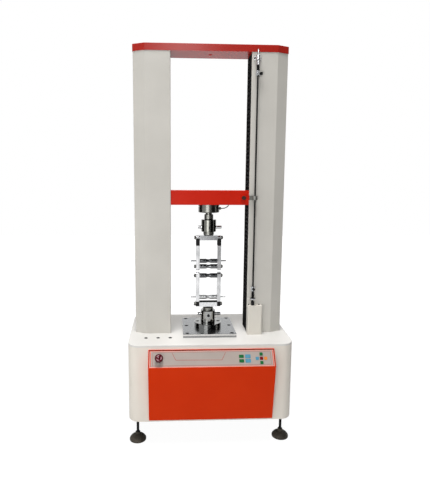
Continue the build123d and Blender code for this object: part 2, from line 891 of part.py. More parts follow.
# Grips: a yoke on a shank, two slotted side plates, a fixed clamp bar and a loose roller in the slots
def grip_yoke(yoke_z, up):
    shank_length = yoke_height / 2 + lock_nut_height + shank_entry
    with BuildPart() as yoke:
        with BuildSketch(Plane.XY.offset(yoke_z - yoke_height / 2)):
            with Locations((0, column_centre_y)):
                Rectangle(2 * grip_half_width, grip_depth)
        extrude(amount=yoke_height)
        with BuildSketch(Plane.XY.offset(yoke_z)):
            with Locations((0, column_centre_y)):
                Circle(shank_radius)
        extrude(amount=-up * shank_length)
        with BuildSketch(Plane.YZ):
            with Locations((column_centre_y, yoke_z)):
                Circle(stud_radius)
        extrude(amount=grip_half_width + stud_length, both=True)
        with BuildSketch(Plane.YZ):
            pin_z = yoke_z - up * (yoke_height / 2 + lock_nut_height + pin_from_mouth)
            with Locations((column_centre_y, pin_z)):
                Circle(pin_radius + fit)
        extrude(amount=2 * shank_radius, both=True, mode=Mode.SUBTRACT)
    return yoke


def side_plates(yoke_z, up):
    clamp_z = yoke_z + up * grip_length
    slot_z = clamp_z - up * (loose_near + loose_travel / 2)
    plate_length = grip_length + yoke_height / 2 + side_plate_end
    plate_z = (clamp_z + up * side_plate_end + yoke_z - up * yoke_height / 2) / 2
    with BuildPart() as plates:
        for start in (grip_half_width, -grip_half_width - side_plate_thickness):
            with BuildSketch(Plane.YZ.offset(start)):
                with Locations((column_centre_y, plate_z)):
                    RectangleRounded(grip_depth, plate_length, side_plate_corner)
                with Locations((column_centre_y, yoke_z), (column_centre_y, clamp_z)):
                    Circle(stud_radius + fit, mode=Mode.SUBTRACT)
                with Locations((column_centre_y, slot_z)):
                    SlotCenterToCenter(
                        loose_travel,
                        2 * (loose_axle_radius + running_gap),
                        rotation=90,
                        mode=Mode.SUBTRACT,
                    )
            extrude(amount=side_plate_thickness)
    return plates


def waisted_bar(z, radius, waist, half_length, end_radius, end_half_length):
    """A bar along X with a shallow waist in the middle and slimmer ends."""
    outline = [
        (end_half_length, 0),
        (end_half_length, end_radius),
        (half_length, end_radius),
        (half_length, radius),
        (waist_half_width, radius),
        (waist_flat, waist),
    ]
    mirrored = [(-x, height) for x, height in reversed(outline)]
    with BuildPart() as bar:
        with BuildSketch(Plane.XZ.offset(-column_centre_y)):
            with BuildLine():
                Polyline(*[(x, z + height) for x, height in outline + mirrored], close=True)
            make_face()
        revolve(axis=Axis((0, column_centre_y, z), (1, 0, 0)))
    return bar


def hex_nuts(heights):
    """The nuts outside the side plates at each height."""
    with BuildPart() as nuts:
        reach = grip_half_width + side_plate_thickness
        for start in (reach, -reach - nut_thickness):
            with BuildSketch(Plane.YZ.offset(start)):
                with Locations(*[(column_centre_y, z) for z in heights]):
                    RegularPolygon(nut_half_flats, 6, major_radius=False)
                    Circle(stud_radius + fit, mode=Mode.SUBTRACT)
            extrude(amount=nut_thickness)
    return nuts


def lock_nut(mouth, up):
    """The notched ring nut between a socket's mouth and the yoke."""
    far = mouth - up * lock_nut_height
    ring = turned(
        [
            (shank_radius + fit, mouth),
            (lock_nut_radius, mouth),
            (lock_nut_radius, far + up * lock_nut_chamfer),
            (lock_nut_radius - lock_nut_chamfer, far),
            (shank_radius + fit, far),
        ],
        0,
        column_centre_y,
    )
    with BuildPart() as nut:
        add(ring.part)
        with BuildSketch(Plane.XY.offset(mouth)):
            with Locations((0, column_centre_y)):
                with PolarLocations(lock_nut_radius, lock_nut_notches):
                    Rectangle(2 * lock_notch_depth, lock_notch_width)
        extrude(amount=-up * lock_notch_height, mode=Mode.SUBTRACT)
    return nut


for place, yoke_z, up in (("lower", lower_yoke_z, 1), ("upper", upper_yoke_z, -1)):
    clamp_z = yoke_z + up * grip_length
    loose_z = clamp_z + loose_near if up < 0 else clamp_z - loose_near - loose_travel
    save(grip_yoke(yoke_z, up), f"{place}_grip_yoke")
    save(side_plates(yoke_z, up), f"{place}_side_plates")
    clamp_bar = waisted_bar(
        clamp_z,
        clamp_bar_radius,
        clamp_bar_waist,
        grip_half_width,
        stud_radius,
        grip_half_width + stud_length,
    )
    save(clamp_bar, f"{place}_clamp_bar")
    loose_roller = waisted_bar(
        loose_z,
        loose_roller_radius,
        loose_roller_waist,
        grip_half_width - loose_roller_side_gap,
        loose_axle_radius,
        loose_axle_half_length,
    )
    save(loose_roller, f"{place}_loose_roller")

with BuildPart() as lower_grip_nuts:
    add(hex_nuts((lower_yoke_z, lower_clamp_z)).part)
    add(lock_nut(lower_mouth, -1).part)
save(lower_grip_nuts, "lower_grip_nuts")

cell_nut = turned(
    [
        (cell_stud_radius + fit, upper_socket_top),
        (cell_nut_radius - cell_nut_chamfer, upper_socket_top),
        (cell_nut_radius, upper_socket_top + cell_nut_chamfer),
        (cell_nut_radius, upper_socket_top + cell_nut_height - cell_nut_chamfer),
        (cell_nut_radius - cell_nut_chamfer, upper_socket_top + cell_nut_height),
        (cell_stud_radius + fit, upper_socket_top + cell_nut_height),
    ],
    0,
    column_centre_y,
)
with BuildPart() as upper_grip_nuts:
    add(hex_nuts((upper_yoke_z, upper_clamp_z)).part)
    add(lock_nut(upper_mouth, 1).part)
    add(cell_nut.part)
    with BuildSketch(Plane.XZ.offset(cell_nut_radius - column_centre_y)):
        with Locations((0, upper_socket_top + cell_nut_height / 2)):
            Circle(spanner_hole_radius)
    extrude(amount=-spanner_hole_depth, mode=Mode.SUBTRACT)
save(upper_grip_nuts, "upper_grip_nuts")

# Load cell: a low round body with a stud below and the lead's gland on its right side
gland_z = crosshead_bottom - gland_drop
gland_tip_x = cell_radius + gland_reach
cell_body = turned(
    [
        (0, crosshead_bottom),
        (cell_radius, crosshead_bottom),
        (cell_radius, gland_z + cell_groove_height + gland_radius),
        (cell_radius - cell_groove_depth, gland_z + cell_groove_height + gland_radius),
        (cell_radius - cell_groove_depth, gland_z + gland_radius),
        (cell_radius, gland_z + gland_radius),
        (cell_radius, cell_bottom + cell_chamfer),
        (cell_radius - cell_chamfer, cell_bottom),
        (cell_boss_radius, cell_bottom),
        (cell_boss_radius, cell_bottom - cell_boss_height),
        (cell_stud_radius, cell_bottom - cell_boss_height),
        (cell_stud_radius, upper_socket_top - cell_stud_entry),
        (0, upper_socket_top - cell_stud_entry),
    ],
    0,
    column_centre_y,
)
with BuildPart() as load_cell:
    add(cell_body.part)
    with BuildSketch(Plane.XZ.offset(-column_centre_y)):
        with BuildLine():
            Polyline(
                (0, gland_z),
                (0, gland_z + gland_radius),
                (cell_radius + gland_radius, gland_z + gland_radius),
                (gland_tip_x, gland_z + gland_tip_radius),
                (gland_tip_x, gland_z),
                close=True,
            )
        make_face()
    revolve(axis=Axis((0, column_centre_y, gland_z), (1, 0, 0)))
save(load_cell, "load_cell")

# The load cell's lead rises from its gland into a hole in the crosshead
lead_steps = [(0.0, 0.0), (11.4, 0.0), (22.5, 2.8), (32.4, 8.5), (38.7, 17.5)]
lead_steps.append((lead_steps[-1][0], gland_drop + lead_hole_depth))
lead_route = [(gland_tip_x + x, column_centre_y, gland_z + z) for x, z in lead_steps]
lead_radii = []
for before, corner, after in zip(lead_route, lead_route[1:], lead_route[2:]):
    come = Vector(*corner) - Vector(*before)
    go = Vector(*after) - Vector(*corner)
    shorter = min(come.length, go.length)
    lead_radii.append(0.45 * shorter / math.tan(math.radians(come.get_angle(go) / 2)))
with BuildPart() as load_cell_lead:
    with BuildLine() as lead_line:
        FilletPolyline(*lead_route, radius=lead_radii)
    with BuildSketch(Plane(origin=lead_route[0], z_dir=(1, 0, 0))):
        Circle(lead_radius)
    sweep(path=lead_line.wire())
save(load_cell_lead, "load_cell_lead")
lead_hole_x = lead_route[-1][0]
print("lead radii", [round(radius, 1) for radius in lead_radii], "length", round(lead_line.wire().length, 1))

# Crosshead: the red beam, bored at its ends for the guide bushes and the ball nuts
with BuildPart() as crosshead:
    with BuildSketch(Plane.XY.offset(crosshead_bottom)):
        with Locations((0, column_centre_y)):
            Rectangle(2 * crosshead_half_length, crosshead_depth)
    extrude(amount=crosshead_height)
    fillet(crosshead.edges().filter_by(Axis.X), crosshead_edge_radius)
    with BuildSketch(Plane.XY.offset(crosshead_bottom)):
        with Locations((0, column_centre_y)):
            with GridLocations(2 * guide_x, 0, 2, 1):
                Circle(bush_radius + fit)
            with GridLocations(2 * screw_x, 0, 2, 1):
                Circle(ball_nut_radius + fit)
    extrude(amount=crosshead_height, mode=Mode.SUBTRACT)
    with BuildSketch(Plane.XY.offset(crosshead_bottom)):
        with Locations((lead_hole_x, column_centre_y)):
            Circle(lead_radius + running_gap)
    extrude(amount=lead_hole_depth, mode=Mode.SUBTRACT)
save(crosshead, "crosshead")

with BuildPart() as guide_bushes:
    with BuildSketch(Plane.XY.offset(crosshead_bottom)):
        with Locations((0, column_centre_y)):
            with GridLocations(2 * guide_x, 0, 2, 1):
                Circle(bush_radius)
                Circle(guide_radius + fit, mode=Mode.SUBTRACT)
    extrude(amount=crosshead_height)
save(guide_bushes, "guide_bushes")

with BuildPart() as ball_nuts:
    for side in both_sides.values():
        nut = turned(
            [
                (screw_radius + fit, crosshead_bottom),
                (ball_nut_radius, crosshead_bottom),
                (ball_nut_radius, crosshead_top),
                (ball_nut_flange_radius, crosshead_top),
                (ball_nut_flange_radius, crosshead_top + ball_nut_flange_height),
                (screw_radius + fit, crosshead_top + ball_nut_flange_height),
            ],
            side * screw_x,
            column_centre_y,
        )
        add(nut.part)
save(ball_nuts, "ball_nuts")


# Bellows: pleated covers that close the columns' slots above and below the crosshead
def bellows(low, high):
    pleats = max(1, round((high - low) / bellows_pitch))
    step = (high - low) / (2 * pleats)
    front = []
    for fold in range(2 * pleats + 1):
        depth = bellows_fold if fold % 2 else 0
        front.append((column_inner_x + bellows_inset + depth, low + fold * step))
    back = [(x + bellows_skin, z) for x, z in reversed(front)]
    bellows_depth = column_depth - 2 * column_lip - 2 * bellows_side_gap
    with BuildPart() as pair:
        for side in both_sides.values():
            with BuildSketch(Plane.XZ.offset(-column_centre_y)):
                with BuildLine():
                    Polyline(*[(side * x, z) for x, z in front + back], close=True)
                make_face()
            extrude(amount=bellows_depth / 2, both=True)
    return pair


save(bellows(base_top, crosshead_bottom), "lower_bellows")
save(bellows(crosshead_top, column_top), "upper_bellows")

# Limit switch box: a folded cover on the right column, with the switch behind it
box_left_x = column_inner_x
box_front_y = column_front_y - 2 * rod_stand
box_middle_x = box_left_x + switch_box_width / 2
with BuildPart() as limit_switch_box:
    with BuildSketch(Plane.XY.offset(base_top)):
        with Locations((box_middle_x, column_front_y - rod_stand)):
            Rectangle(switch_box_width, 2 * rod_stand)
    extrude(amount=switch_box_height)
    front_edges = limit_switch_box.edges().filter_by(Axis.Z).group_by(Axis.Y)[0]
    fillet(front_edges, switch_box_corner)
    box_back = limit_switch_box.faces().sort_by(Axis.Y)[-1]
    offset(amount=-switch_box_wall, openings=box_back)
    with BuildSketch(Plane.XY.offset(switch_box_top)):
        with Locations((rod_x, rod_y)):
            Circle(box_bush_spigot_radius + fit)
    extrude(amount=-2 * switch_box_wall, mode=Mode.SUBTRACT)
    with BuildSketch(Plane.XZ.offset(-column_front_y)):
        switch_x = box_left_x + switch_box_width - switch_box_corner - switch_width / 2
        with Locations((switch_x, switch_box_top - switch_drop - switch_height / 2)):
            Rectangle(switch_width, switch_height)
    extrude(amount=switch_depth)
save(limit_switch_box, "limit_switch_box")

# Rod guides: an eye bracket near the column's top and a flanged bush on the switch box
bush = turned(
    [
        (rod_radius + rod_guide_fit, switch_box_top - switch_box_wall),
        (box_bush_spigot_radius, switch_box_top - switch_box_wall),
        (box_bush_spigot_radius, switch_box_top),
        (box_bush_radius, switch_box_top),
        (box_bush_radius, switch_box_top + box_bush_height),
        (rod_radius + rod_guide_fit, switch_box_top + box_bush_height),
    ],
    rod_x,
    rod_y,
)
with BuildPart() as rod_guides:
    with BuildSketch(Plane.XY.offset(guide_eye_z)):
        with Locations((rod_x, column_front_y - guide_plate_thickness / 2)):
            Rectangle(guide_plate_width, guide_plate_thickness)
        with Locations((rod_x, column_front_y - rod_stand / 2)):
            Rectangle(guide_web_width, rod_stand)
        with Locations((rod_x, rod_y)):
            Circle(guide_eye_radius)
            Circle(rod_radius + rod_guide_fit, mode=Mode.SUBTRACT)
    extrude(amount=guide_eye_height)
    add(bush.part)
save(rod_guides, "rod_guides")

# Limit rod: a slim plain rod, and pinned on it two collars with their buffer springs
rod_bar = turned(
    [
        (0, switch_box_top - rod_in_box),
        (rod_radius, switch_box_top - rod_in_box),
        (rod_radius, column_top + rod_above_column),
        (0, column_top + rod_above_column),
    ],
    rod_x,
    rod_y,
)
lower_spring_z = lower_collar_z + lower_collar_height
lower_buffer = turned(
    [
        (rod_radius + fit, lower_collar_z),
        (lower_collar_radius, lower_collar_z),
        (lower_collar_radius, lower_spring_z),
        (spring_radius, lower_spring_z),
        (spring_radius, lower_spring_z + lower_spring_length),
        (rod_radius + fit, lower_spring_z + lower_spring_length),
    ],
    rod_x,
    rod_y,
)
upper_spring_z = upper_collar_z - upper_spring_length
upper_buffer = turned(
    [
        (rod_radius + fit, upper_spring_z),
        (spring_radius, upper_spring_z),
        (spring_radius, upper_collar_z),
        (upper_collar_radius, upper_collar_z),
        (upper_collar_radius, upper_collar_z + upper_collar_height),
        (rod_radius + fit, upper_collar_z + upper_collar_height),
    ],
    rod_x,
    rod_y,
)
with BuildPart() as limit_rod:
    add(rod_bar.part)
    add(lower_buffer.part)
    add(upper_buffer.part)
save(limit_rod, "limit_rod")


# Stops: collars that slide on the rod, each clamped by a thumb knob that points out along a direction
def stop_collar(z, knob_way):
    with BuildPart() as stop:
        with BuildSketch(Plane.XY.offset(z)):
            with Locations((rod_x, rod_y)):
                Circle(stop_radius)
                Circle(rod_radius + rod_guide_fit, mode=Mode.SUBTRACT)
        extrude(amount=stop_height)
        with BuildSketch(Plane(origin=(rod_x, rod_y, z + stop_height / 2), z_dir=knob_way)):
            Circle(knob_screw_radius + fit)
        extrude(amount=2 * stop_radius, mode=Mode.SUBTRACT)
    return stop


def stop_knob(z, knob_way):
    middle = Plane(origin=(rod_x, rod_y, z + stop_height / 2), z_dir=knob_way)
    with BuildPart() as knob:
        with BuildSketch(middle.offset(knob_screw_tip)):
            Circle(knob_screw_radius)
        extrude(amount=stop_radius + knob_stand - knob_screw_tip)
        with BuildSketch(middle.offset(stop_radius + knob_stand)):
            Circle(knob_radius)
        extrude(amount=knob_length)
        rims = knob.edges().filter_by(GeomType.CIRCLE).sort_by(SortBy.RADIUS)[-2:]
        fillet(rims, knob_edge_radius)
    return knob


for place, z, knob_way in (("upper", upper_stop_z, (1, 0, 0)), ("lower", lower_stop_z, (0, -1, 0))):
    save(stop_collar(z, knob_way), f"{place}_stop_collar")
    save(stop_knob(z, knob_way), f"{place}_stop_knob")

# Trigger arm: a bar on the crosshead's front whose eye rides along the limit rod
arm_bolt_x = column_inner_x - arm_bolt_from_inner
arm_front_y = column_front_y - arm_clear - arm_thickness
arm_start_x = arm_bolt_x - arm_end_margin
with BuildPart() as trigger_arm:
    with BuildSketch(Plane.XY.offset(crosshead_middle - arm_height / 2)):
        with Locations(((arm_start_x + rod_x) / 2, arm_front_y + arm_thickness / 2)):
            Rectangle(rod_x - arm_start_x, arm_thickness)
        with Locations((rod_x, rod_y)):
            Circle(arm_eye_radius)
            Circle(arm_eye_bore, mode=Mode.SUBTRACT)
    extrude(amount=arm_height)
    with BuildSketch(Plane.XZ.offset(-crosshead_front_y)):
        with Locations((arm_bolt_x, crosshead_middle)):
            Circle(arm_boss_radius)
    extrude(amount=crosshead_front_y - arm_front_y - arm_thickness)
    with BuildSketch(Plane.XZ.offset(-arm_front_y)):
        with Locations((arm_bolt_x, crosshead_middle)):
            RegularPolygon(arm_bolt_half_flats, 6, major_radius=False)
    extrude(amount=arm_bolt_head)
save(trigger_arm, "trigger_arm")
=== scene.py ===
"""Twin-column testing machine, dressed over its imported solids. Metres, in the solids' own frame."""

import math

import bmesh
import bpy
from mathutils import Matrix, Vector


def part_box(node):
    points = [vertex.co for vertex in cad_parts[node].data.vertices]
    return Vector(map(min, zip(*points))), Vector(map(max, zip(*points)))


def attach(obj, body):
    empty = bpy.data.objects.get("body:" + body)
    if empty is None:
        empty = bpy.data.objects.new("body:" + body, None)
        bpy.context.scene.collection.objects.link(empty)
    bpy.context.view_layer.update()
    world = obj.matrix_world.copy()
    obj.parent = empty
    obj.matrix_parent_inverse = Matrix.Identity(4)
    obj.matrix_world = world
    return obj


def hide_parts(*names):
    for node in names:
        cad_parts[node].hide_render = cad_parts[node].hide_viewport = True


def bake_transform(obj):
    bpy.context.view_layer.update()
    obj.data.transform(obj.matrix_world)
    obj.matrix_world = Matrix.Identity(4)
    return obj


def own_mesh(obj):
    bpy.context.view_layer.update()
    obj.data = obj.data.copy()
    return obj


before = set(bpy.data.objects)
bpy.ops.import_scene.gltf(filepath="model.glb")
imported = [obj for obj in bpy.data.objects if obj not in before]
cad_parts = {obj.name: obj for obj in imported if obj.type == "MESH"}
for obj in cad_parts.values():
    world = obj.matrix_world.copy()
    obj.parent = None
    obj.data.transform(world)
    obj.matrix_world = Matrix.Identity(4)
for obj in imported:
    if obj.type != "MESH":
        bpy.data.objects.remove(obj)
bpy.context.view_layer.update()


# Levelling feet. Moulded rubber mushroom pads on slim blackened studs: each stud is a plain core
# with a rolled thread wound round it, screwed up into the cabinet's posts.
def srgb(code):
    """An sRGB hex colour as linear red, green, blue and alpha."""
    parts = [int(code[start:start + 2], 16) / 255 for start in (1, 3, 5)]
    linear = [part / 12.92 if part <= 0.04045 else ((part + 0.055) / 1.055) ** 2.4 for part in parts]
    return (*linear, 1.0)


def add_node(tree, kind, inputs=None, **settings):
    """Adds a shader node; an input that is another node's socket is linked, any other is set."""
    made = tree.nodes.new(kind)
    for name, value in settings.items():
        setattr(made, name, value)
    for name, value in (inputs or {}).items():
        if isinstance(value, bpy.types.NodeSocket):
            tree.links.new(value, made.inputs[name])
        else:
            made.inputs[name].default_value = value
    return made


def new_finish(name):
    """A new material, with its node tree and its shader."""
    material = bpy.data.materials.new(name)
    material.use_nodes = True
    return material, material.node_tree, material.node_tree.nodes["Principled BSDF"]


def grained(name, dark, light, roughness, patch_mm, grain_mm, relief_mm, metallic=0.0, sheen=0.2):
    """A surface whose colour drifts in soft patches and whose skin has a fine raised grain."""
    material, tree, shader = new_finish(name)
    place = add_node(tree, "ShaderNodeTexCoord").outputs["Object"]
    patch_scale = 1000 / patch_mm
    patches = add_node(tree, "ShaderNodeTexNoise", {"Vector": place, "Scale": patch_scale, "Detail": 3.0})
    ramp = add_node(tree, "ShaderNodeValToRGB", {"Fac": patches.outputs["Fac"]})
    ramp.color_ramp.elements[0].position = 0.3
    ramp.color_ramp.elements[0].color = srgb(dark)
    ramp.color_ramp.elements[1].position = 0.7
    ramp.color_ramp.elements[1].color = srgb(light)
    grain_scale = 1000 / grain_mm
    grain = add_node(tree, "ShaderNodeTexNoise", {"Vector": place, "Scale": grain_scale, "Detail": 2.0})
    bump = add_node(
        tree,
        "ShaderNodeBump",
        {"Height": grain.outputs["Fac"], "Strength": 0.6, "Distance": relief_mm / 1000},
    )
    tree.links.new(ramp.outputs["Color"], shader.inputs["Base Color"])
    tree.links.new(bump.outputs["Normal"], shader.inputs["Normal"])
    shader.inputs["Roughness"].default_value = roughness
    shader.inputs["Metallic"].default_value = metallic
    shader.inputs["Specular IOR Level"].default_value = sheen
    return material


def dress(material, *names):
    """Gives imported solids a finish."""
    for name in names:
        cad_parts[name].material_slots[0].material = material


# Nitrile rubber from a spark-eroded mould: almost black, a little brown, dull with a dry grain
foot_rubber = grained("moulded_nitrile_rubber", "#37332D", "#4C463E", 0.62, 35, 1.6, 0.12)
dress(foot_rubber, "foot_pads")
# Black-oxide steel: a thin dark conversion layer that still shines a little
black_oxide = grained(
    "black_oxide_steel", "#17181A", "#2A2B2D", 0.38, 20, 0.7, 0.02, metallic=0.3, sheen=0.1
)


def only_selected(piece):
    """Makes one object the only selected one, and the active one."""
    bpy.ops.object.select_all(action="DESELECT")
    piece.select_set(True)
    bpy.context.view_layer.objects.active = piece


def named(name):
    """Names the primitive that was just added, and works its place into its mesh."""
    piece = bpy.context.active_object
    piece.name = name
    piece.data.name = name
    bpy.ops.object.transform_apply(location=True, rotation=True, scale=True)
    return piece


def cylinder(name, sides, radius, bottom, height):
    """A plain cylinder about Z that starts at a height, to be shaped further."""
    bpy.ops.object.select_all(action="DESELECT")
    middle = (0, 0, bottom + height / 2)
    bpy.ops.mesh.primitive_cylinder_add(vertices=sides, radius=radius, depth=height, location=middle)
    return named(name)


def apply_modifier(piece, kind, **settings):
    """Adds a modifier with these settings and applies it."""
    only_selected(piece)
    added = piece.modifiers.new(kind.title(), kind)
    for name, value in settings.items():
        setattr(added, name, value)
    bpy.ops.object.modifier_apply(modifier=added.name)


def wound(piece, rise, turns, steps):
    """Winds a profile round Z, rising that much in each turn, in so many steps a turn."""
    apply_modifier(
        piece,
        "SCREW",
        screw_offset=rise,
        iterations=turns,
        steps=steps,
        render_steps=steps,
        use_merge_vertices=True,
    )


def merged(first, *others, name=None):
    """Joins pieces into the first one, under a name if one is given."""
    only_selected(first)
    for other in others:
        other.select_set(True)
    if others:
        bpy.ops.object.join()
    if name:
        first.name = name
    return first


def repeated(piece, places):
    """Sets a piece and copies of it, each with a mesh of its own, at these places, and joins them."""
    copies = []
    for place in places[1:]:
        twin = piece.copy()
        twin.data = piece.data.copy()
        bpy.context.collection.objects.link(twin)
        twin.matrix_world = place @ piece.matrix_world
        copies.append(twin)
    piece.matrix_world = places[0]
    return merged(piece, *copies)


def settle(piece, material, body, place=None, smooth=35):
    """Puts a finished piece in its place, with its finish, on the body that carries it, if one does."""
    only_selected(piece)
    if place is not None:
        piece.matrix_world = place
    bpy.ops.object.transform_apply(location=True, rotation=True, scale=True)
    bpy.ops.object.mode_set(mode="EDIT")
    bpy.ops.mesh.select_all(action="SELECT")
    bpy.ops.mesh.remove_doubles(threshold=0.000005)
    bpy.ops.mesh.normals_make_consistent(inside=False)
    bpy.ops.object.mode_set(mode="OBJECT")
    bpy.ops.object.shade_smooth_by_angle(angle=math.radians(smooth))
    piece.data.materials.clear()
    piece.data.materials.append(material)
    if body:
        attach(piece, body)
    return piece


def threaded_stud(name, radius, length, pitch, ridge):
    """A stud standing on the origin: a chamfered core and a triangular thread wound round it."""
    core = cylinder(name, 24, radius - ridge, 0.0, length)
    apply_modifier(core, "BEVEL", width=ridge, segments=1, limit_method="ANGLE")
    bpy.ops.object.select_all(action="DESELECT")
    bpy.ops.mesh.primitive_circle_add(
        vertices=3, radius=ridge * 1.2, location=(0, 0, 0), rotation=(math.pi / 2, math.pi / 2, 0)
    )
    thread = named(name + "_thread")
    thread.data.transform(Matrix.Translation((radius - ridge, 0, pitch)))
    wound(thread, pitch, int(length / pitch) - 2, 20)
    return merged(core, thread)


stud_low, stud_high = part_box("foot_stems")
stud_radius, stud_pitch, stud_ridge = 0.0065, 0.002, 0.0009
stud_length = stud_high[2] - stud_low[2]
stud_spread = stud_high[0] - stud_radius
stud_places = []
for stud_y in (stud_low[1] + stud_radius, stud_high[1] - stud_radius):
    for stud_x in (-stud_spread, stud_spread):
        stud_places.append(Matrix.Translation((stud_x, stud_y, stud_low[2])))
stud = threaded_stud("levelling_studs", stud_radius, stud_length, stud_pitch, stud_ridge)
levelling_studs = settle(repeated(stud, stud_places), black_oxide, "frame")
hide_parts("foot_stems")


# Cabinet. Folded sheet steel round a welded frame, powder coated a warm off-white, with the painted
# worktop bolted on. Three plastic plugs close spare holes in the worktop's left front.
# Powder coat: satin, with the slight orange peel of a baked thermoset film
cabinet_coat = grained("off_white_powder_coat", "#DCD5CA", "#E3DDD3", 0.42, 260, 2.2, 0.03)
dress(cabinet_coat, "cabinet_shell")
# The worktop's batch is a cooler, greyer white
worktop_coat = grained("grey_white_powder_coat", "#D0CECA", "#D7D5D1", 0.42, 260, 2.2, 0.03)
dress(worktop_coat, "worktop")
# On the thin sheet of the rear panel and the switch box the coat is a shade darker and duller
panel_coat = grained("off_white_powder_coat_sheet", "#CFCAC0", "#D6D2C9", 0.46, 180, 2.2, 0.03)
dress(panel_coat, "rear_panel", "limit_switch_box")
# Zinc-rich primer on the weldment: flat dark grey
frame_primer = grained("grey_zinc_primer", "#4A4C4E", "#595B5D", 0.7, 60, 1.2, 0.05)
dress(frame_primer, "base_frame")


def turned(name, profile, segments=48):
    """A piece turned about Z: a disc extruded up through (radius, height) steps, closed at both ends."""
    last_radius, last_height = profile[0]
    bpy.ops.object.select_all(action="DESELECT")
    bpy.ops.mesh.primitive_circle_add(
        vertices=segments, radius=last_radius, fill_type="NGON", location=(0, 0, last_height)
    )
    piece = named(name)
    bpy.ops.object.mode_set(mode="EDIT")
    bpy.ops.mesh.select_all(action="SELECT")
    for radius, height in profile[1:]:
        bpy.ops.mesh.extrude_region_move(TRANSFORM_OT_translate={"value": (0, 0, height - last_height)})
        scale = radius / last_radius
        bpy.ops.transform.resize(value=(scale, scale, 1), center_override=(0, 0, height))
        last_radius, last_height = radius, height
    bpy.ops.mesh.select_all(action="DESELECT")
    bpy.ops.mesh.select_mode(type="EDGE")
    bpy.ops.mesh.select_non_manifold()
    bpy.ops.mesh.edge_face_add()
    bpy.ops.object.mode_set(mode="OBJECT")
    return piece


# Moulded polyamide: black, dull, with a light spark grain
black_polyamide = grained("moulded_black_polyamide", "#0E0E0E", "#1B1B1B", 0.45, 15, 0.8, 0.04)
worktop_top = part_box("worktop")[1][2]
cabinet_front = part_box("cabinet_shell")[0][1]
plug_inset = 0.1
plug = turned(
    "worktop_plugs",
    [
        (0.0064, -0.005),
        (0.0066, -0.0002),
        (0.0086, 0.0),
        (0.0084, 0.0009),
        (0.0070, 0.0016),
        (0.0030, 0.0019),
    ],
    32,
)
plug_places = []
for plug_x in (-0.317, -0.257, -0.197):
    plug_places.append(Matrix.Translation((plug_x, cabinet_front + plug_inset, worktop_top)))
settle(repeated(plug, plug_places), black_polyamide, "frame")


# Rear panel fixings. Button-head screws hold the louvred sheet, and the mains inlet has its three
# flat blades behind a moulded surround.
def socket_screw(name, radius, height, key):
    """A cap screw's head standing on the origin, with a hexagon socket of that key radius."""
    head = cylinder(name, 36, radius, 0.0, height)
    apply_modifier(head, "BEVEL", width=radius * 0.1, segments=2, limit_method="ANGLE")
    socket_floor = height * 0.45
    cutter = cylinder(name + "_key", 6, key, socket_floor, height)
    apply_modifier(head, "BOOLEAN", object=cutter, operation="DIFFERENCE", solver="EXACT")
    bpy.data.objects.remove(cutter)
    return head


def screw_set(name, material, body, places, radius, height, key, turn=Matrix.Identity(4)):
    """Like screws at several places, joined into one piece; turn points them the right way."""
    screw = socket_screw(name, radius, height, key)
    screws = repeated(screw, [Matrix.Translation(place) @ turn for place in places])
    return settle(screws, material, body)


def bevelled_bar(name, size, place, edge):
    """A straight bar with its edges broken."""
    bpy.ops.object.select_all(action="DESELECT")
    bpy.ops.mesh.primitive_cube_add(size=1, location=place)
    bpy.context.active_object.scale = size
    bar = named(name)
    apply_modifier(bar, "BEVEL", width=edge, segments=2)
    return bar


facing_back = Matrix.Rotation(-math.pi / 2, 4, "X")
panel_low, panel_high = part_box("rear_panel")
panel_sheet = 0.002
panel_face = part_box("cabinet_shell")[1][1] + panel_sheet
panel_inset = 0.012
panel_screw_places = []
for screw_x in (panel_low[0] + panel_inset, 0.0, panel_high[0] - panel_inset):
    for screw_z in (panel_low[2] + panel_inset, panel_high[2] - panel_inset):
        panel_screw_places.append((screw_x, panel_face, screw_z))
# Zinc-plated steel: pale, slightly blue, softly bright
zinc_plate = grained("zinc_plated_steel", "#A9ADB2", "#C2C6CA", 0.3, 8, 0.5, 0.01, metallic=1.0)
screw_set(
    "rear_panel_screws",
    zinc_plate,
    "frame",
    panel_screw_places,
    radius=0.0045,
    height=0.0026,
    key=0.002,
    turn=facing_back,
)

inlet_drop = 0.1
inlet_z = (panel_low[2] + panel_high[2]) / 2 - inlet_drop
blade_size, blade_edge, blade_y = (0.002, 0.005, 0.004), 0.0004, panel_face + 0.0015
inlet_blades = []
for blade_x, blade_z in ((-0.007, -0.002), (0.0, 0.002), (0.007, -0.002)):
    blade_place = (blade_x, blade_y, inlet_z + blade_z)
    inlet_blades.append(bevelled_bar("inlet_blade", blade_size, blade_place, blade_edge))
settle(merged(*inlet_blades, name="mains_inlet_blades"), zinc_plate, "frame")


# Console. A folded steel wedge in orange-red stoving enamel, with a grey printed film on its sloping
# face. The film carries thin red ruled lines, the emergency stop and nine moulded keys.
# Stoving enamel: a strong, even orange-red with a soft shine
console_enamel = grained(
    "orange_red_stoving_enamel", "#CE3103", "#D33505", 0.34, 240, 1.8, 0.02, sheen=0.08
)
dress(console_enamel, "console_shell")
# Printed polycarbonate film: matt grey with the fine texture that keeps off glare
overlay_film = grained("grey_polycarbonate_film", "#9B9089", "#A29790", 0.5, 90, 0.9, 0.01)
dress(overlay_film, "control_overlay")

# The sloping face: how far it runs out and drops, and its top edge ahead of the cabinet and below the
# worktop
slope_run, slope_drop = 0.047, 0.0689
face_ahead, face_below = 0.006, 0.0215
slope = math.hypot(slope_run, slope_drop)
face_out = Vector((0, -slope_drop / slope, slope_run / slope))
face_up = Vector((0, slope_run / slope, slope_drop / slope))
face_middle = Vector(
    (0, cabinet_front - face_ahead - slope_run / 2, worktop_top - face_below - slope_drop / 2)
)
film_thickness = 0.0015


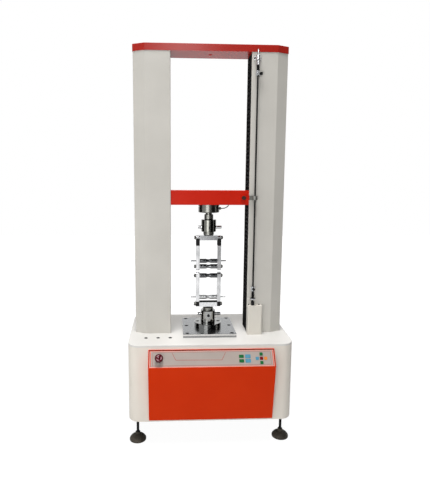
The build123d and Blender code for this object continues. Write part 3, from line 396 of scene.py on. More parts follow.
def on_face(x, up, out):
    """The place on the sloping face: x across, up the slope and out of it, as a matrix."""
    turn = Matrix((Vector((1, 0, 0)), face_up, face_out)).transposed().to_4x4()
    return Matrix.Translation(face_middle + Vector((x, 0, 0)) + up * face_up + out * face_out) @ turn


def flat_sheet(name, width, height):
    """A flat sheet at the origin, to be cut and thickened."""
    bpy.ops.object.select_all(action="DESELECT")
    bpy.ops.mesh.primitive_plane_add(size=1)
    bpy.context.active_object.scale = (width, height, 1)
    return named(name)


def ruled_line(start, end, width, height):
    """A printed line from start to end, both (x, up), lying on the film as a thin strip."""
    run = Vector(end) - Vector(start)
    middle = (Vector(start) + Vector(end)) / 2
    line = flat_sheet("ruled_line", run.length + width, width)
    apply_modifier(line, "SOLIDIFY", thickness=height, offset=1.0)
    along = Matrix.Rotation(math.atan2(run.y, run.x), 4, "Z")
    line.matrix_world = on_face(middle.x, middle.y, film_thickness) @ along
    only_selected(line)
    bpy.ops.object.transform_apply(location=True, rotation=True)
    return line


def film_frame(name, material, width, height, strip, thickness, up):
    """A flat frame on the sloping face: a sheet inset by the strip's width, opened, thickened, bevelled."""
    trim = flat_sheet(name, width, height)
    bpy.ops.object.mode_set(mode="EDIT")
    bpy.ops.mesh.select_all(action="SELECT")
    bpy.ops.mesh.inset(thickness=strip, depth=0.0)
    bpy.ops.mesh.delete(type="FACE")
    bpy.ops.object.mode_set(mode="OBJECT")
    apply_modifier(trim, "SOLIDIFY", thickness=thickness, offset=1.0)
    apply_modifier(trim, "BEVEL", width=0.0004, segments=2, limit_method="ANGLE")
    settle(trim, material, "frame", on_face(0.0, up, 0.00005))


# Painted highlight round the film: a thin bevelled frame in a paler red, standing for the light that the
# console face's rim catches
trim_painted_highlight = grained("pale_red_painted_edge_highlight", "#D68F81", "#DC978A", 0.4, 60, 1.2, 0.01)
film_frame(
    "film_edge_painted_highlight", trim_painted_highlight, width=0.5890, height=0.0765, strip=0.0043, thickness=0.0014, up=-0.0010
)
# Painted shadow outside the trim: a dark red line standing for the shade along the console face's top and
# side edges, set up the slope so that the trim hides its lower run
bead_painted_shadow = grained("dark_red_painted_shadow_line", "#2E0703", "#380B06", 0.5, 40, 1.2, 0.02)
film_frame(
    "film_painted_shadow_line", bead_painted_shadow, width=0.5935, height=0.0790, strip=0.0043, thickness=0.0011, up=0.0020
)

# Screen-printing ink: dense, flat and a little proud of the film
red_ink = grained("red_screen_ink", "#9C2A26", "#A6322E", 0.55, 20, 0.8, 0.004)
bracket_points = [(-0.1886, 0.0283), (-0.1713, -0.0057), (0.0464, -0.0074), (0.0649, 0.0272)]
bracket_width, bracket_height = 0.0016, 0.00012
border_x, border_up = 0.279, 0.0305
border_width, border_height = 0.0011, 0.00010
border_points = [
    (-border_x, -border_up),
    (border_x, -border_up),
    (border_x, border_up),
    (-border_x, border_up),
    (-border_x, -border_up),
]
rules = []
for start, end in zip(bracket_points, bracket_points[1:]):
    rules.append(ruled_line(start, end, bracket_width, bracket_height))
for start, end in zip(border_points, border_points[1:]):
    rules.append(ruled_line(start, end, border_width, border_height))
settle(merged(*rules, name="printed_rules"), red_ink, "frame")

# Moulded ABS keys: even colour right through, semi-gloss from a polished mould
green_keys = ("green_key_upper", "green_key_lower", "jog_up_key", "jog_down_key")
key_finishes = {
    "moulded_green_abs": ("#15592D", "#196234", green_keys),
    "moulded_blue_abs": ("#4B839B", "#538CA3", ("blue_key_upper", "blue_key_lower", "jog_left_key")),
    "moulded_dark_red_abs": ("#680810", "#740C14", ("stop_key",)),
    "moulded_orange_abs": ("#CC7834", "#D4823C", ("jog_right_key",)),
}
for key_finish, (dark, light, keys) in key_finishes.items():
    dress(grained(key_finish, dark, light, 0.32, 12, 0.6, 0.008), *keys)

# Emergency stop: a mushroom with a rounded rim and a shallow thumb hollow, over a black threaded collar
# Deep red ABS from a polished mould: dark, with a small sharp highlight
stop_red = grained("moulded_deep_red_abs", "#42040F", "#4E0814", 0.15, 14, 0.7, 0.004, sheen=0.3)
dress(black_polyamide, "estop_collar")
stop_x = -0.2495
stop_place = on_face(stop_x, 0.0, 0.0)
mushroom = turned(
    "emergency_stop_head",
    [
        (0.0080, -0.0120),
        (0.0080, 0.0155),
        (0.0168, 0.0157),
        (0.0194, 0.0172),
        (0.0199, 0.0196),
        (0.0198, 0.0222),
        (0.0188, 0.0252),
        (0.0165, 0.0277),
        (0.0130, 0.0291),
        (0.0090, 0.0295),
        (0.0070, 0.0292),
        (0.0030, 0.0288),
    ],
)
settle(mushroom, stop_red, "estop_body", stop_place)
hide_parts("estop_button")


def sheet_edge(name, size, place, is_dropped):
    """One edge of a square sheet, selected in edit mode; is_dropped says which corners go."""
    bpy.ops.object.select_all(action="DESELECT")
    bpy.ops.mesh.primitive_plane_add(size=size, location=place)
    piece = named(name)
    bpy.ops.object.mode_set(mode="EDIT")
    sheet = bmesh.from_edit_mesh(piece.data)
    for corner in sheet.verts:
        corner.select_set(is_dropped(corner.co))
    sheet.select_flush(True)
    bpy.ops.mesh.delete(type="VERT")
    bpy.ops.mesh.select_all(action="SELECT")
    return piece


def turning_arrow(turned_by):
    """One of the three curved arrows on the head: an edge spun into a strip, with a three-sided tip."""
    near, far, level = 0.0098, 0.0118, 0.0291
    middle = (near + far) / 2
    arrow = sheet_edge("turning_arrow", far - near, (middle, 0, level), lambda corner: corner.y < 0)
    bpy.ops.mesh.spin(steps=10, angle=math.radians(60), center=(0, 0, level), axis=(0, 0, 1))
    bpy.ops.object.mode_set(mode="OBJECT")
    bpy.ops.object.select_all(action="DESELECT")
    bpy.ops.mesh.primitive_circle_add(
        vertices=3,
        radius=0.0026,
        fill_type="NGON",
        location=(middle, -0.0002, level),
        rotation=(0, 0, math.pi),
    )
    whole = merged(arrow, named("arrow_tip"))
    apply_modifier(whole, "SOLIDIFY", thickness=0.0006, offset=1.0)
    whole.matrix_world = stop_place @ Matrix.Rotation(turned_by, 4, "Z")
    only_selected(whole)
    bpy.ops.object.transform_apply(location=True, rotation=True)
    return whole


# Pad-printed arrows: a pale pink ink
arrow_ink = grained("pale_pad_print_ink", "#D3A0AA", "#DDADB6", 0.4, 8, 0.6, 0.004)
arrows = [turning_arrow(math.radians(angle)) for angle in (20, 140, 260)]
settle(merged(*arrows, name="emergency_stop_arrows"), arrow_ink, "estop_body")


# Column covers. Folded sheet with a slanted outer front edge, slotted down the inner side, standing on
# the worktop and powder coated like the cabinet.
# A greyer batch of the same powder: pale, satin, with the same slight orange peel
column_coat = grained("pale_grey_powder_coat", "#BDBAB3", "#C7C4BD", 0.42, 260, 2.2, 0.03)
dress(column_coat, "left_column_cover", "right_column_cover")


# Drive inside the cabinet and columns. Ground guide rods, rolled ball screws, their bearings, and the
# belt drive from an upright gear motor: all closed in, finished as bare machined stock.
def machined(name, dark, light, roughness, lay, blackened=(), brightened=()):
    """Machined steel: lines, as many per metre along x, y and z as lay says, coarser than real tool marks
    so that they show, and dark bands of height, some real oxide and some painted shade, and bright ones,
    each its middle and half its width."""
    material, tree, shader = new_finish(name)
    place = add_node(tree, "ShaderNodeTexCoord").outputs["Object"]
    stretched = add_node(tree, "ShaderNodeMapping", {"Vector": place, "Scale": lay}).outputs["Vector"]
    noise = add_node(tree, "ShaderNodeTexNoise", {"Vector": stretched, "Scale": 1.0, "Detail": 4.0})
    lines = noise.outputs["Fac"]
    ramp = add_node(tree, "ShaderNodeValToRGB", {"Fac": lines})
    ramp.color_ramp.elements[0].position = 0.25
    ramp.color_ramp.elements[0].color = srgb(dark)
    ramp.color_ramp.elements[1].position = 0.75
    ramp.color_ramp.elements[1].color = srgb(light)
    gloss = add_node(
        tree,
        "ShaderNodeMapRange",
        {"Value": lines, "To Min": roughness * 0.7, "To Max": roughness * 1.3},
    )
    bump = add_node(tree, "ShaderNodeBump", {"Height": lines, "Strength": 0.06, "Distance": 0.0001})
    shader.inputs["Metallic"].default_value = 1.0
    colour = ramp.outputs["Color"]
    height = add_node(tree, "ShaderNodeSeparateXYZ", {"Vector": place}).outputs["Z"]
    bare = 1.0
    bands = [(band, "#E4E4E4") for band in brightened] + [(band, "#2A2A2A") for band in blackened]
    for (middle, half), band_colour in bands:
        band = add_node(tree, "ShaderNodeMath", {0: height, 1: middle, 2: half}, operation="COMPARE")
        inside = band.outputs[0]
        coated = {0: inside, 6: colour, 7: srgb(band_colour)}
        colour = add_node(tree, "ShaderNodeMix", coated, data_type="RGBA").outputs[2]
        if (middle, half) in blackened:
            less = add_node(tree, "ShaderNodeMath", {0: bare, 1: inside}, operation="SUBTRACT")
            bare = less.outputs[0]
    if blackened:
        tree.links.new(bare, shader.inputs["Metallic"])
        shader.inputs["Specular IOR Level"].default_value = 0.0
    tree.links.new(colour, shader.inputs["Base Color"])
    tree.links.new(gloss.outputs["Result"], shader.inputs["Roughness"])
    tree.links.new(bump.outputs["Normal"], shader.inputs["Normal"])
    return material


# Ground steel turned about an upright axis: rings about half a millimetre apart, drawn coarser
ring_ground = machined("ground_steel_turned_upright", "#8E8F91", "#B4B5B7", 0.26, (30, 30, 1400))
dress(ring_ground, "guide_rods", "left_ball_screw", "right_ball_screw")
dress(ring_ground, "screw_bearings", "ball_nuts", "guide_bushes")
# Sand-cast aluminium: dull silver with a rough skin
cast_alloy = grained("sand_cast_aluminium", "#8B8D90", "#A3A5A8", 0.5, 25, 1.4, 0.08, metallic=1.0)
dress(cast_alloy, "drive_motor", "motor_pulley", "servo_drive")
# Neoprene: flat black
belt_rubber = grained("neoprene_belt", "#101010", "#1C1C1C", 0.7, 20, 1.0, 0.05)
dress(belt_rubber, "timing_belt")


# Crown plate and crosshead. Thick machined steel in red enamel; the crown ties the columns' tops, and
# the crosshead runs through their slots on the guide bushes, driven by the ball nuts.
# Gloss enamel: a clear red that mirrors the lamps softly
crosshead_red = "#BB1D0A"
red_enamel = grained("red_gloss_enamel", crosshead_red, "#C1220E", 0.26, 200, 1.6, 0.012, sheen=0.12)
dress(red_enamel, "crosshead")
# The crown's coat is a duller crimson from another batch
crimson_enamel = grained("crimson_satin_enamel", "#A0231B", "#A72920", 0.25, 140, 1.6, 0.02, sheen=0.15)
dress(crimson_enamel, "crown_plate")


# Bellows. Pleated coated cloth that closes the columns' slots above and below the crosshead.
# Polyurethane-coated polyester: dull black, with the cloth's weave drawn at 1.5 mm so that it shows
bellows_cloth = grained("black_coated_polyester", "#060606", "#0D0D0D", 0.75, 40, 1.5, 0.1, sheen=0.05)
crosshead_low, crosshead_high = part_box("crosshead")
test_axis_y = (crosshead_low[1] + crosshead_high[1]) / 2
column_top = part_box("crown_plate")[0][2]


def pleated_cover(name, low, high, side):
    """A strip pleated up from low to high: one edge extruded in and out, given the cloth's thickness."""
    inner, depth, fold, pitch = 0.1957, 0.1105, 0.0125, 0.022
    pleats = round((high - low) / pitch)
    step = (high - low) / (2 * pleats)
    cover = sheet_edge(name, depth, (0, 0, 0), lambda corner: corner.x > 0)
    for number in range(2 * pleats):
        across = fold if number % 2 == 0 else -fold
        bpy.ops.mesh.extrude_region_move(TRANSFORM_OT_translate={"value": (side * across, 0, step)})
    bpy.ops.object.mode_set(mode="OBJECT")
    cover.data.transform(Matrix.Translation((side * inner + depth / 2, test_axis_y, low)))
    apply_modifier(cover, "BEVEL", width=0.0016, segments=3, limit_method="ANGLE", angle_limit=0.5)
    apply_modifier(cover, "SOLIDIFY", thickness=0.0011, offset=-1.0 if side > 0 else 1.0)
    return cover


# Seals along the slots' edges: extruded rubber strips that the cloth's sides run against
slot_half = 0.0565
seal_spread, seal_width, seal_thickness, seal_edge = 0.2038, 0.019, 0.0008, 0.0003
seal_size = (seal_width, seal_thickness, column_top - worktop_top - 0.0004)
seal_y = slot_half - seal_thickness / 2
seal_z = (worktop_top + column_top) / 2
seal_strips = []
for seal_x in (-seal_spread, seal_spread):
    for seal_side in (-1, 1):
        seal_place = (seal_x, test_axis_y + seal_side * seal_y, seal_z)
        seal_strips.append(bevelled_bar("slot_seal", seal_size, seal_place, seal_edge))
settle(merged(*seal_strips, name="slot_edge_seals"), belt_rubber, "frame")

lower_pair = [pleated_cover("lower_bellows_cloth", worktop_top, crosshead_low[2], side) for side in (-1, 1)]
lower_cloth = settle(merged(*lower_pair), bellows_cloth, None, smooth=50)
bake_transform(lower_cloth)
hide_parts("lower_bellows")
upper_pair = [pleated_cover("upper_bellows_cloth", crosshead_high[2], column_top, side) for side in (-1, 1)]
upper_cloth = settle(merged(*upper_pair), bellows_cloth, "frame", smooth=50)
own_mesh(upper_cloth)
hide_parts("upper_bellows")


# Load cell. A turned stainless body with its stud and cable gland; the thin lead leaves the gland,
# bends up and goes into the crosshead.
# Turned stainless steel: warm grey, with fine rings that spread the highlight
cell_steel = machined("turned_stainless_steel", "#5B5B57", "#84847E", 0.24, (30, 30, 1100))
dress(cell_steel, "load_cell")
# Limp PVC lead: black, softly shiny
lead_pvc = grained("black_pvc_sheath", "#0C0C0D", "#161617", 0.4, 12, 0.6, 0.01)
gland_end_x, gland_drop = 0.0625, 0.02
lead_start = Vector((gland_end_x, test_axis_y, crosshead_low[2] - gland_drop))
lead_steps = [
    (0.0, 0.0),
    (0.0114, 0.0),
    (0.0225, 0.0028),
    (0.0324, 0.0085),
    (0.0387, 0.0175),
    (0.0387, 0.028),
]
lead_radius = 0.00225
lead_curve = bpy.data.curves.new("load_cell_lead_cord", "CURVE")
lead_curve.dimensions = "3D"
lead_curve.bevel_depth = lead_radius
lead_curve.bevel_resolution = 5
lead_curve.use_fill_caps = True
lead_spline = lead_curve.splines.new("NURBS")
lead_spline.points.add(len(lead_steps) - 1)
for point, (step_x, step_z) in zip(lead_spline.points, lead_steps):
    point.co = (*(lead_start + Vector((step_x, 0, step_z))), 1)
lead_spline.order_u = 3
lead_spline.use_endpoint_u = True
lead_spline.resolution_u = 16
lead = bpy.data.objects.new("load_cell_lead_cord", lead_curve)
bpy.context.collection.objects.link(lead)
lead_curve.materials.append(lead_pvc)
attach(lead, "crosshead_body")
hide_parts("load_cell_lead")


# Sockets, lock nuts and cross pins. Turned and polished steel: the sockets take the grips' shanks and
# the chromed pins lock them. From the front, a set screw sunk in the upper socket and a cap screw with
# a standing head in the lower one hold the pins.
# Polished tool steel: a dark mirror with faint rings
upper_socket_steel = machined("polished_tool_steel", "#5C5C58", "#868680", 0.11, (25, 25, 900))
dress(upper_socket_steel, "upper_socket")
# Chromed steel: a paler and sharper mirror
lower_socket_steel = machined("polished_chromed_steel", "#8A8B8A", "#B2B3B1", 0.07, (25, 25, 900))
dress(lower_socket_steel, "lower_socket")
# Milled nuts: dull grey with no lay
nut_steel = machined("milled_nut_steel", "#6C6C69", "#96968F", 0.34, (300, 300, 300))
dress(nut_steel, "upper_grip_nuts", "lower_grip_nuts")
# Chromed pins turned about their length: the brightest metal on the machine
pin_chrome = machined("polished_chrome_pin", "#C2C3C4", "#E6E7E8", 0.16, (900, 25, 25))
dress(pin_chrome, "upper_pin", "lower_pin")
facing_front = Matrix.Rotation(math.pi / 2, 4, "X")
socket_radius = 0.038
socket_front = test_axis_y - socket_radius
for place, body, sunk, radius, height, key in (
    ("upper", "crosshead_body", 0.0095, 0.0038, 0.0080, 0.0021),
    ("lower", "frame", 0.0020, 0.0072, 0.0065, 0.0040),
):
    pin_low, pin_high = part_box(place + "_pin")
    screw_place = [(0.0, socket_front + sunk, (pin_low[2] + pin_high[2]) / 2)]
    screw_set(
        place + "_set_screw", black_oxide, body, screw_place, radius, height, key, facing_front
    )


# Grips. Slotted side plates and yokes in ground flat bar, with waisted rollers turned from round bar;
# the loose roller rides in the slots and pinches the specimen against the clamp bar.
# Polished steel turned about its length: a dark mirror on the upper clamp bar; a darker copy on the upper
# loose roller and the lower clamp bar is painted shade, standing for the dark they mirror
roller_steel = machined("polished_roller_steel", "#68696B", "#97999B", 0.12, (900, 25, 25))
dress(roller_steel, "upper_clamp_bar")
roller_steel_painted_shade = machined("polished_roller_steel_painted_dark", "#434446", "#77797B", 0.12, (900, 25, 25))
dress(roller_steel_painted_shade, "lower_clamp_bar", "upper_loose_roller")
# Satin steel: a pale copy on the lower loose roller, painted lighter for the light it mirrors, with a broad
# soft highlight
roller_steel_painted_light = machined("satin_roller_steel_painted_pale", "#A9AAAB", "#E2E3E4", 0.36, (900, 25, 25))
dress(roller_steel_painted_light, "lower_loose_roller")
# Ground bar: bright, with dark bands painted on the plates' ends at the yokes as painted shade where the
# plates meet them
upper_plate_shade_band = (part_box("upper_side_plates")[1][2] - 0.033, 0.019)
lower_plate_shade_band = (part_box("lower_side_plates")[0][2] + 0.013, 0.014)
plate_bar = machined(
    "ground_flat_bar_painted_shade_ends",
    "#9FA0A2",
    "#F2F2F3",
    0.14,
    (60, 60, 18),
    blackened=[upper_plate_shade_band, lower_plate_shade_band],
)
dress(plate_bar, "upper_side_plates", "lower_side_plates")
# The lower yoke: a paler copy of the ground bar, painted lighter as a painted highlight, with a dark band
# painted along its top face between the plates as painted shade
lower_yoke_shade_face = (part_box("lower_grip_yoke")[1][2], 0.0008)
lower_yoke_bar = machined(
    "ground_yoke_painted_shade_face", "#C4C5C7", "#EBECED", 0.16, (300, 60, 60), blackened=[lower_yoke_shade_face]
)
dress(lower_yoke_bar, "lower_grip_yoke")
# The upper yoke: the same ground bar in a greyer tone, with no band
upper_yoke_bar = machined("ground_yoke_bar", "#9C9DA0", "#C8C9CB", 0.16, (300, 60, 60))
dress(upper_yoke_bar, "upper_grip_yoke")


# Platen. A lapped square plate with ground edges, held by six cap screws sunk in counterbores; four
# more hold the lower socket's flange to it.
# Lapped steel: an even satin grey with no lay, and a bright line where the upper edge is ground
platen_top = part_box("platen")[1][2]
platen_chamfer, platen_edge_half = 0.0004, 0.0042
lapped_steel = machined(
    "lapped_tool_steel_ground_edges",
    "#7E8081",
    "#ACAEAF",
    0.24,
    (220, 220, 220),
    brightened=[(platen_top - platen_edge_half - platen_chamfer, platen_edge_half)],
)
dress(lapped_steel, "platen")
platen_bolt_x, platen_bolt_y, platen_bolt_seat = 0.112, 0.118, platen_top - 0.011
platen_bolt_places = []
for bolt_x in (-platen_bolt_x, platen_bolt_x):
    for bolt_y in (-platen_bolt_y, 0.0, platen_bolt_y):
        platen_bolt_places.append((bolt_x, test_axis_y + bolt_y, platen_bolt_seat))
screw_set(
    "platen_bolts",
    black_oxide,
    "frame",
    platen_bolt_places,
    radius=0.0094,
    height=0.0102,
    key=0.0055,
)
flange_top = platen_top + 0.0246
flange_circle, flange_bolt_seat = 0.054, flange_top - 0.01
flange_bolt_places = []
for quarter in range(4):
    angle = quarter * math.pi / 2
    bolt_x, bolt_y = flange_circle * math.cos(angle), flange_circle * math.sin(angle)
    flange_bolt_places.append((bolt_x, test_axis_y + bolt_y, flange_bolt_seat))
screw_set(
    "flange_bolts",
    black_oxide,
    "frame",
    flange_bolt_places,
    radius=0.0085,
    height=0.0095,
    key=0.0046,
)


# Limit rod. A blackened rod with two bright fixed collars and a buffer spring against each; it slides
# in an eye bracket at the column's top and a bush on the switch box.
# Bright bracket and black bush: ground steel, oxide left on the lower of the two
bush_band = (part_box("limit_switch_box")[1][2], 0.05)
guide_steel = machined(
    "bright_bracket_black_bush", "#CFD0D1", "#F0F0F0", 0.3, (60, 60, 300), blackened=[bush_band]
)
dress(guide_steel, "rod_guides")
rod_radius = 0.004
rod_x, rod_ahead = 0.22, 0.0175
column_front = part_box("right_column_cover")[0][1]
rod_y = column_front - rod_ahead
rod_low, rod_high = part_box("limit_rod")
lower_collar, lower_collar_height, lower_collar_radius = 0.690, 0.006, 0.0140
upper_collar, upper_collar_height, upper_collar_radius = 1.828, 0.018, 0.0090
lower_collar_top = lower_collar + lower_collar_height
# Oxide on the plain stretches: dull black, with the collars left bright
plain_stretches = [(rod_low[2], lower_collar), (lower_collar_top, upper_collar)]
rod_steel = machined(
    "blackened_rod_bright_collars",
    "#A4A5A7",
    "#CDCED0",
    0.2,
    (25, 25, 700),
    blackened=[((start + end) / 2, (end - start) / 2) for start, end in plain_stretches],
)


def rod_collar(bottom, height, radius):
    """The steps of a chamfered collar's profile, out from the rod and back to it."""
    chamfer = 0.0008
    return [
        (rod_radius, bottom),
        (radius - chamfer, bottom),
        (radius, bottom + chamfer),
        (radius, bottom + height - chamfer),
        (radius - chamfer, bottom + height),
        (rod_radius, bottom + height),
    ]


rod_profile = [(rod_radius - 0.0005, rod_low[2]), (rod_radius, rod_low[2] + 0.0005)]
rod_profile += rod_collar(lower_collar, lower_collar_height, lower_collar_radius)
rod_profile += rod_collar(upper_collar, upper_collar_height, upper_collar_radius)
rod_profile += [(rod_radius, rod_high[2] - 0.001), (rod_radius - 0.001, rod_high[2])]
limit_rod = turned("limit_rod_bar", rod_profile, 32)
settle(limit_rod, rod_steel, "limit_rod_body", Matrix.Translation((rod_x, rod_y, 0)))
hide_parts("limit_rod")


def buffer_spring(name, bottom, length, turns):
    """A compression spring round the rod: a wire circle wound up its own helix."""
    wire, coil = 0.0011, 0.0058
    bpy.ops.object.select_all(action="DESELECT")
    bpy.ops.mesh.primitive_circle_add(vertices=10, radius=wire, rotation=(math.pi / 2, 0, 0))
    spring = named(name)
    spring.data.transform(Matrix.Translation((coil, 0, wire)))
    wound(spring, (length - 2 * wire) / turns, turns, 24)
    seat = Matrix.Translation((rod_x, rod_y, bottom))
    return settle(spring, black_oxide, "limit_rod_body", seat)


lower_spring_length, upper_spring_length = 0.038, 0.027
buffer_spring("lower_buffer_spring", lower_collar_top, lower_spring_length, turns=11)
buffer_spring("upper_buffer_spring", upper_collar - upper_spring_length, upper_spring_length, turns=8)

# Guide bracket and switch box screws
bracket_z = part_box("rod_guides")[1][2] - 0.01
bracket_face = column_front - 0.004
bracket_screw_spread = 0.0135
bracket_screw_places = []
for bracket_side in (-1, 1):
    screw_x = rod_x + bracket_side * bracket_screw_spread
    bracket_screw_places.append((screw_x, bracket_face, bracket_z))
screw_set(
    "bracket_screws",
    black_oxide,
    "frame",
    bracket_screw_places,
    radius=0.0035,
    height=0.003,
    key=0.0016,
    turn=facing_front,
)
box_low, box_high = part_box("limit_switch_box")
box_screw_y = box_high[1] - 0.008
box_screw_left, box_screw_right = box_low[0] + 0.008, box_high[0] - 0.012
screw_set(
    "switch_box_screws",
    black_oxide,
    "frame",
    [(screw_x, box_screw_y, box_high[2]) for screw_x in (box_screw_left, box_screw_right)],
    radius=0.004,
    height=0.0024,
    key=0.0018,
)


# Stops. Turned and chromed steel collars that slide on the rod, each clamped by a knurled thumb knob
# of black polyamide on a short screw.
# Polished chrome: a bright mirror with fine rings
chrome_upright = machined("polished_chrome_turned_upright", "#A9ABAE", "#D2D4D6", 0.1, (25, 25, 900))
dress(chrome_upright, "upper_stop_collar", "lower_stop_collar")


def thumb_knob(name, body, place):
    """A knurled knob standing out along Z from the rod's axis, with its screw behind it."""
    rim_radius = 0.0068
    knob = turned(
        name,
        [
            (0.0025, 0.0043),
            (0.0025, 0.0105),
            (0.0060, 0.0105),
            (rim_radius, 0.0113),
            (rim_radius, 0.0217),
            (0.0060, 0.0225),
            (0.0045, 0.0225),
            (0.0040, 0.0219),
        ],
        36,
    )
    bpy.ops.object.mode_set(mode="EDIT")
    bpy.ops.mesh.select_mode(type="FACE")
    skin = bmesh.from_edit_mesh(knob.data)
    for side_face in skin.faces:
        middle = side_face.calc_center_median()
        from_axis = math.hypot(middle.x, middle.y)
        side_face.select_set(from_axis > rim_radius - 0.0002 and abs(side_face.normal.z) < 0.1)
    bmesh.update_edit_mesh(knob.data)
    bpy.ops.mesh.inset(use_individual=True, thickness=0.00025, depth=0.0002)
    bpy.ops.object.mode_set(mode="OBJECT")
    return settle(knob, black_polyamide, body, place, smooth=20)


facing_right = Matrix.Rotation(math.pi / 2, 4, "Y")
for stop, knob_turn in (("upper", facing_right), ("lower", facing_front)):
    stop_low, stop_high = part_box(stop + "_stop_collar")
    knob_seat = Matrix.Translation((rod_x, rod_y, (stop_low[2] + stop_high[2]) / 2))
    knob = thumb_knob(stop + "_thumb_knob", stop + "_knob_body", knob_seat @ knob_turn)
    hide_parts(stop + "_stop_knob")


# Trigger arm. A steel bar bolted to the crosshead's front, with a blackened bolt and a bare ground end whose
# eye runs round the rod; its root is painted the crosshead's red, a painted reflection of the crosshead in
# the bare bar.
# Ground steel: dull grey with fine lines at the end, the crosshead's red painted on the root as its
# reflection, a dark bolt in front
bare_from_x, bolt_front_y = 0.1935, -0.0572
arm_finish, arm_tree, arm_shader = new_finish("ground_steel_painted_red_reflection")
arm_place = add_node(arm_tree, "ShaderNodeTexCoord").outputs["Object"]
arm_axes = add_node(arm_tree, "ShaderNodeSeparateXYZ", {"Vector": arm_place})
arm_scratch = add_node(arm_tree, "ShaderNodeMapping", {"Vector": arm_place, "Scale": (60, 60, 900)})
arm_lines = add_node(arm_tree, "ShaderNodeTexNoise", {"Vector": arm_scratch.outputs["Vector"], "Scale": 1.0})
arm_bare = add_node(arm_tree, "ShaderNodeValToRGB", {"Fac": arm_lines.outputs["Fac"]})
arm_bare.color_ramp.elements[0].color = srgb("#6B6B66")
arm_bare.color_ramp.elements[1].color = srgb("#93938E")
arm_is_bare = add_node(
    arm_tree, "ShaderNodeMath", {0: arm_axes.outputs["X"], 1: bare_from_x}, operation="GREATER_THAN"
)
arm_is_bolt = add_node(
    arm_tree, "ShaderNodeMath", {0: arm_axes.outputs["Y"], 1: bolt_front_y}, operation="LESS_THAN"
)
# Painted reflection: the root takes the crosshead's red, which the bare bar mirrors there
arm_root = add_node(
    arm_tree,
    "ShaderNodeMix",
    {0: arm_is_bolt.outputs[0], 6: srgb(crosshead_red), 7: srgb("#3B2A26")},
    data_type="RGBA",
)
arm_colour = add_node(
    arm_tree,
    "ShaderNodeMix",
    {0: arm_is_bare.outputs[0], 6: arm_root.outputs[2], 7: arm_bare.outputs["Color"]},
    data_type="RGBA",
)
arm_tree.links.new(arm_colour.outputs[2], arm_shader.inputs["Base Color"])
arm_tree.links.new(arm_is_bare.outputs[0], arm_shader.inputs["Metallic"])
arm_shader.inputs["Roughness"].default_value = 0.45
arm_shader.inputs["Specular IOR Level"].default_value = 0.12
dress(arm_finish, "trigger_arm")


# Studio. A white sweep that the camera, mirrors and glass all see as white, under an even sky that
# lights the object much less than it shows.
bpy.context.scene.view_settings.view_transform = "Standard"


def looked_at(tree):
    """1 where the camera looks, straight or by way of a mirror or glass, and 0 for light on the object."""
    rays = add_node(tree, "ShaderNodeLightPath").outputs
    by_way_of = {0: rays["Is Glossy Ray"], 1: rays["Is Transmission Ray"]}
    reflected = add_node(tree, "ShaderNodeMath", by_way_of, operation="MAXIMUM").outputs[0]
    either = {0: rays["Is Camera Ray"], 1: reflected}
    return add_node(tree, "ShaderNodeMath", either, operation="MAXIMUM").outputs[0]


world = bpy.data.worlds.new("studio_sky")
bpy.context.scene.world = world
world.use_nodes = True
sky_tree = world.node_tree
sky_levels = {"Value": looked_at(sky_tree), "To Min": 0.29, "To Max": 1.0}
level = add_node(sky_tree, "ShaderNodeMapRange", sky_levels)
sky = sky_tree.nodes["Background"]
sky.inputs["Color"].default_value = (1, 1, 1, 1)
sky_tree.links.new(level.outputs["Result"], sky.inputs["Strength"])

# Painted floor: white to the eye and in mirrors, a little less so near the machine, to keep its shadow
bpy.ops.object.select_all(action="DESELECT")
bpy.ops.mesh.primitive_plane_add(size=16)
floor = named("studio_floor")
floor_paint, floor_tree, floor_shader = new_finish("white_studio_floor")
floor_shader.inputs["Base Color"].default_value = (0.45, 0.45, 0.45, 1)
floor_shader.inputs["Roughness"].default_value = 0.9
glow = add_node(floor_tree, "ShaderNodeEmission", {"Color": (1, 1, 1, 1), "Strength": 1.13})
floor_place = add_node(floor_tree, "ShaderNodeTexCoord").outputs["Object"]
from_middle = add_node(floor_tree, "ShaderNodeVectorMath", {0: floor_place}, operation="LENGTH")
whiter = add_node(
    floor_tree,
    "ShaderNodeMapRange",
    {"Value": from_middle.outputs["Value"], "From Min": 0.8, "From Max": 2.2, "To Min": 0.85, "To Max": 1.0},
)
share = add_node(
    floor_tree,
    "ShaderNodeMath",
    {0: looked_at(floor_tree), 1: whiter.outputs["Result"]},
    operation="MULTIPLY",
)
floor_mix = add_node(
    floor_tree,
    "ShaderNodeMixShader",
    {0: share.outputs[0], 1: floor_shader.outputs["BSDF"], 2: glow.outputs["Emission"]},
)
floor_tree.links.new(floor_mix.outputs["Shader"], floor_tree.nodes["Material Output"].inputs["Surface"])
floor.data.materials.append(floor_paint)

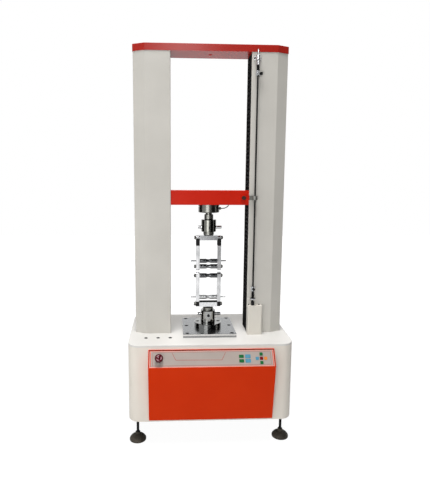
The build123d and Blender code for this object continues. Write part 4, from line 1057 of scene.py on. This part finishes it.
# Cards beside, above and in front of the machine, out of view: matt black ones give bright metal dark
# edges, and a matt grey one tones down what the right side mirrors
card_black = grained("black_studio_card", "#0A0A0A", "#101010", 0.9, 200, 5, 0.1)
card_grey = grained("grey_studio_card", "#C4C4C4", "#CCCCCC", 0.9, 200, 5, 0.1)
for card_name, card_place, card_turn, card_size, card_finish in (
    ("left_card", (-3.0, 1.3, 1.3), (math.pi / 2, 0, 0.9), (1.6, 2.6, 1), card_black),
    ("right_card", (3.0, 1.3, 1.3), (math.pi / 2, 0, -0.9), (1.6, 2.6, 1), card_black),
    ("right_front_card", (1.9, -1.7, 1.7), (math.pi / 2, 0, 0.8), (2.2, 3.2, 1), card_black),
    ("front_ceiling_card", (0.0, -2.8, 5.8), (0, 0, 0), (7.0, 5.0, 1), card_black),
    ("front_card", (0.0, -5.3, 3.6), (math.pi / 2, 0, 0), (7.0, 4.4, 1), card_black),
    ("right_low_card", (1.0, -3.6, 0.75), (math.pi / 2, 0, 0), (1.36, 1.5, 1), card_grey),
):
    bpy.ops.object.select_all(action="DESELECT")
    bpy.ops.mesh.primitive_plane_add(size=1, location=card_place, rotation=card_turn)
    bpy.context.active_object.scale = card_size
    card = named(card_name)
    card.data.materials.append(card_finish)
    card.visible_camera = False


def lamp(name, place, target, size, power, mirrored=True):
    """A square soft lamp at a place, aimed at a target; metal mirrors it or not."""
    light = bpy.data.lights.new(name, "AREA")
    light.energy = power
    light.size = size
    holder = bpy.data.objects.new(name, light)
    bpy.context.collection.objects.link(holder)
    holder.location = place
    holder.rotation_euler = (Vector(target) - Vector(place)).to_track_quat("-Z", "Y").to_euler()
    holder.visible_glossy = mirrored


# Lamps: a broad key from the left front, a small one for the crown, a low fill at the right, a weak one
# at the left, and broad ones behind and overhead
lamp("key_lamp", (-1.1, -3.0, 1.0), (0, 0, 0.9), 1.6, 29)
lamp("crown_lamp", (-0.08, -2.9, 2.76), (0, 0, 1.9), 0.45, 16)
lamp("fill_lamp", (0.8, -2.6, 0.3), (0.2, 0, 0.4), 1.4, 11, mirrored=False)
lamp("left_lamp", (-1.7, -0.8, 0.7), (-0.3, 0, 0.9), 0.8, 4.5, mirrored=False)
lamp("back_lamp", (0.4, 3.2, 1.5), (0, 0, 0.9), 1.8, 42, mirrored=False)
lamp("top_lamp", (-0.3, -0.9, 5.5), (0, -0.1, 0.5), 1.8, 265, mirrored=False)

# Camera, at the photograph's place and angle
camera_data = bpy.data.cameras.new("photo_camera")
camera_data.sensor_width = 36.0
camera_data.lens = 32.30
camera_data.shift_x = 0.0492
camera_data.shift_y = -0.0046
camera = bpy.data.objects.new("photo_camera", camera_data)
camera.location = (-0.1908, -2.1724, 1.2781)
camera.rotation_euler = [math.radians(angle) for angle in (82.6099, -0.2678, -2.6453)]
bpy.context.collection.objects.link(camera)
bpy.context.scene.camera = camera
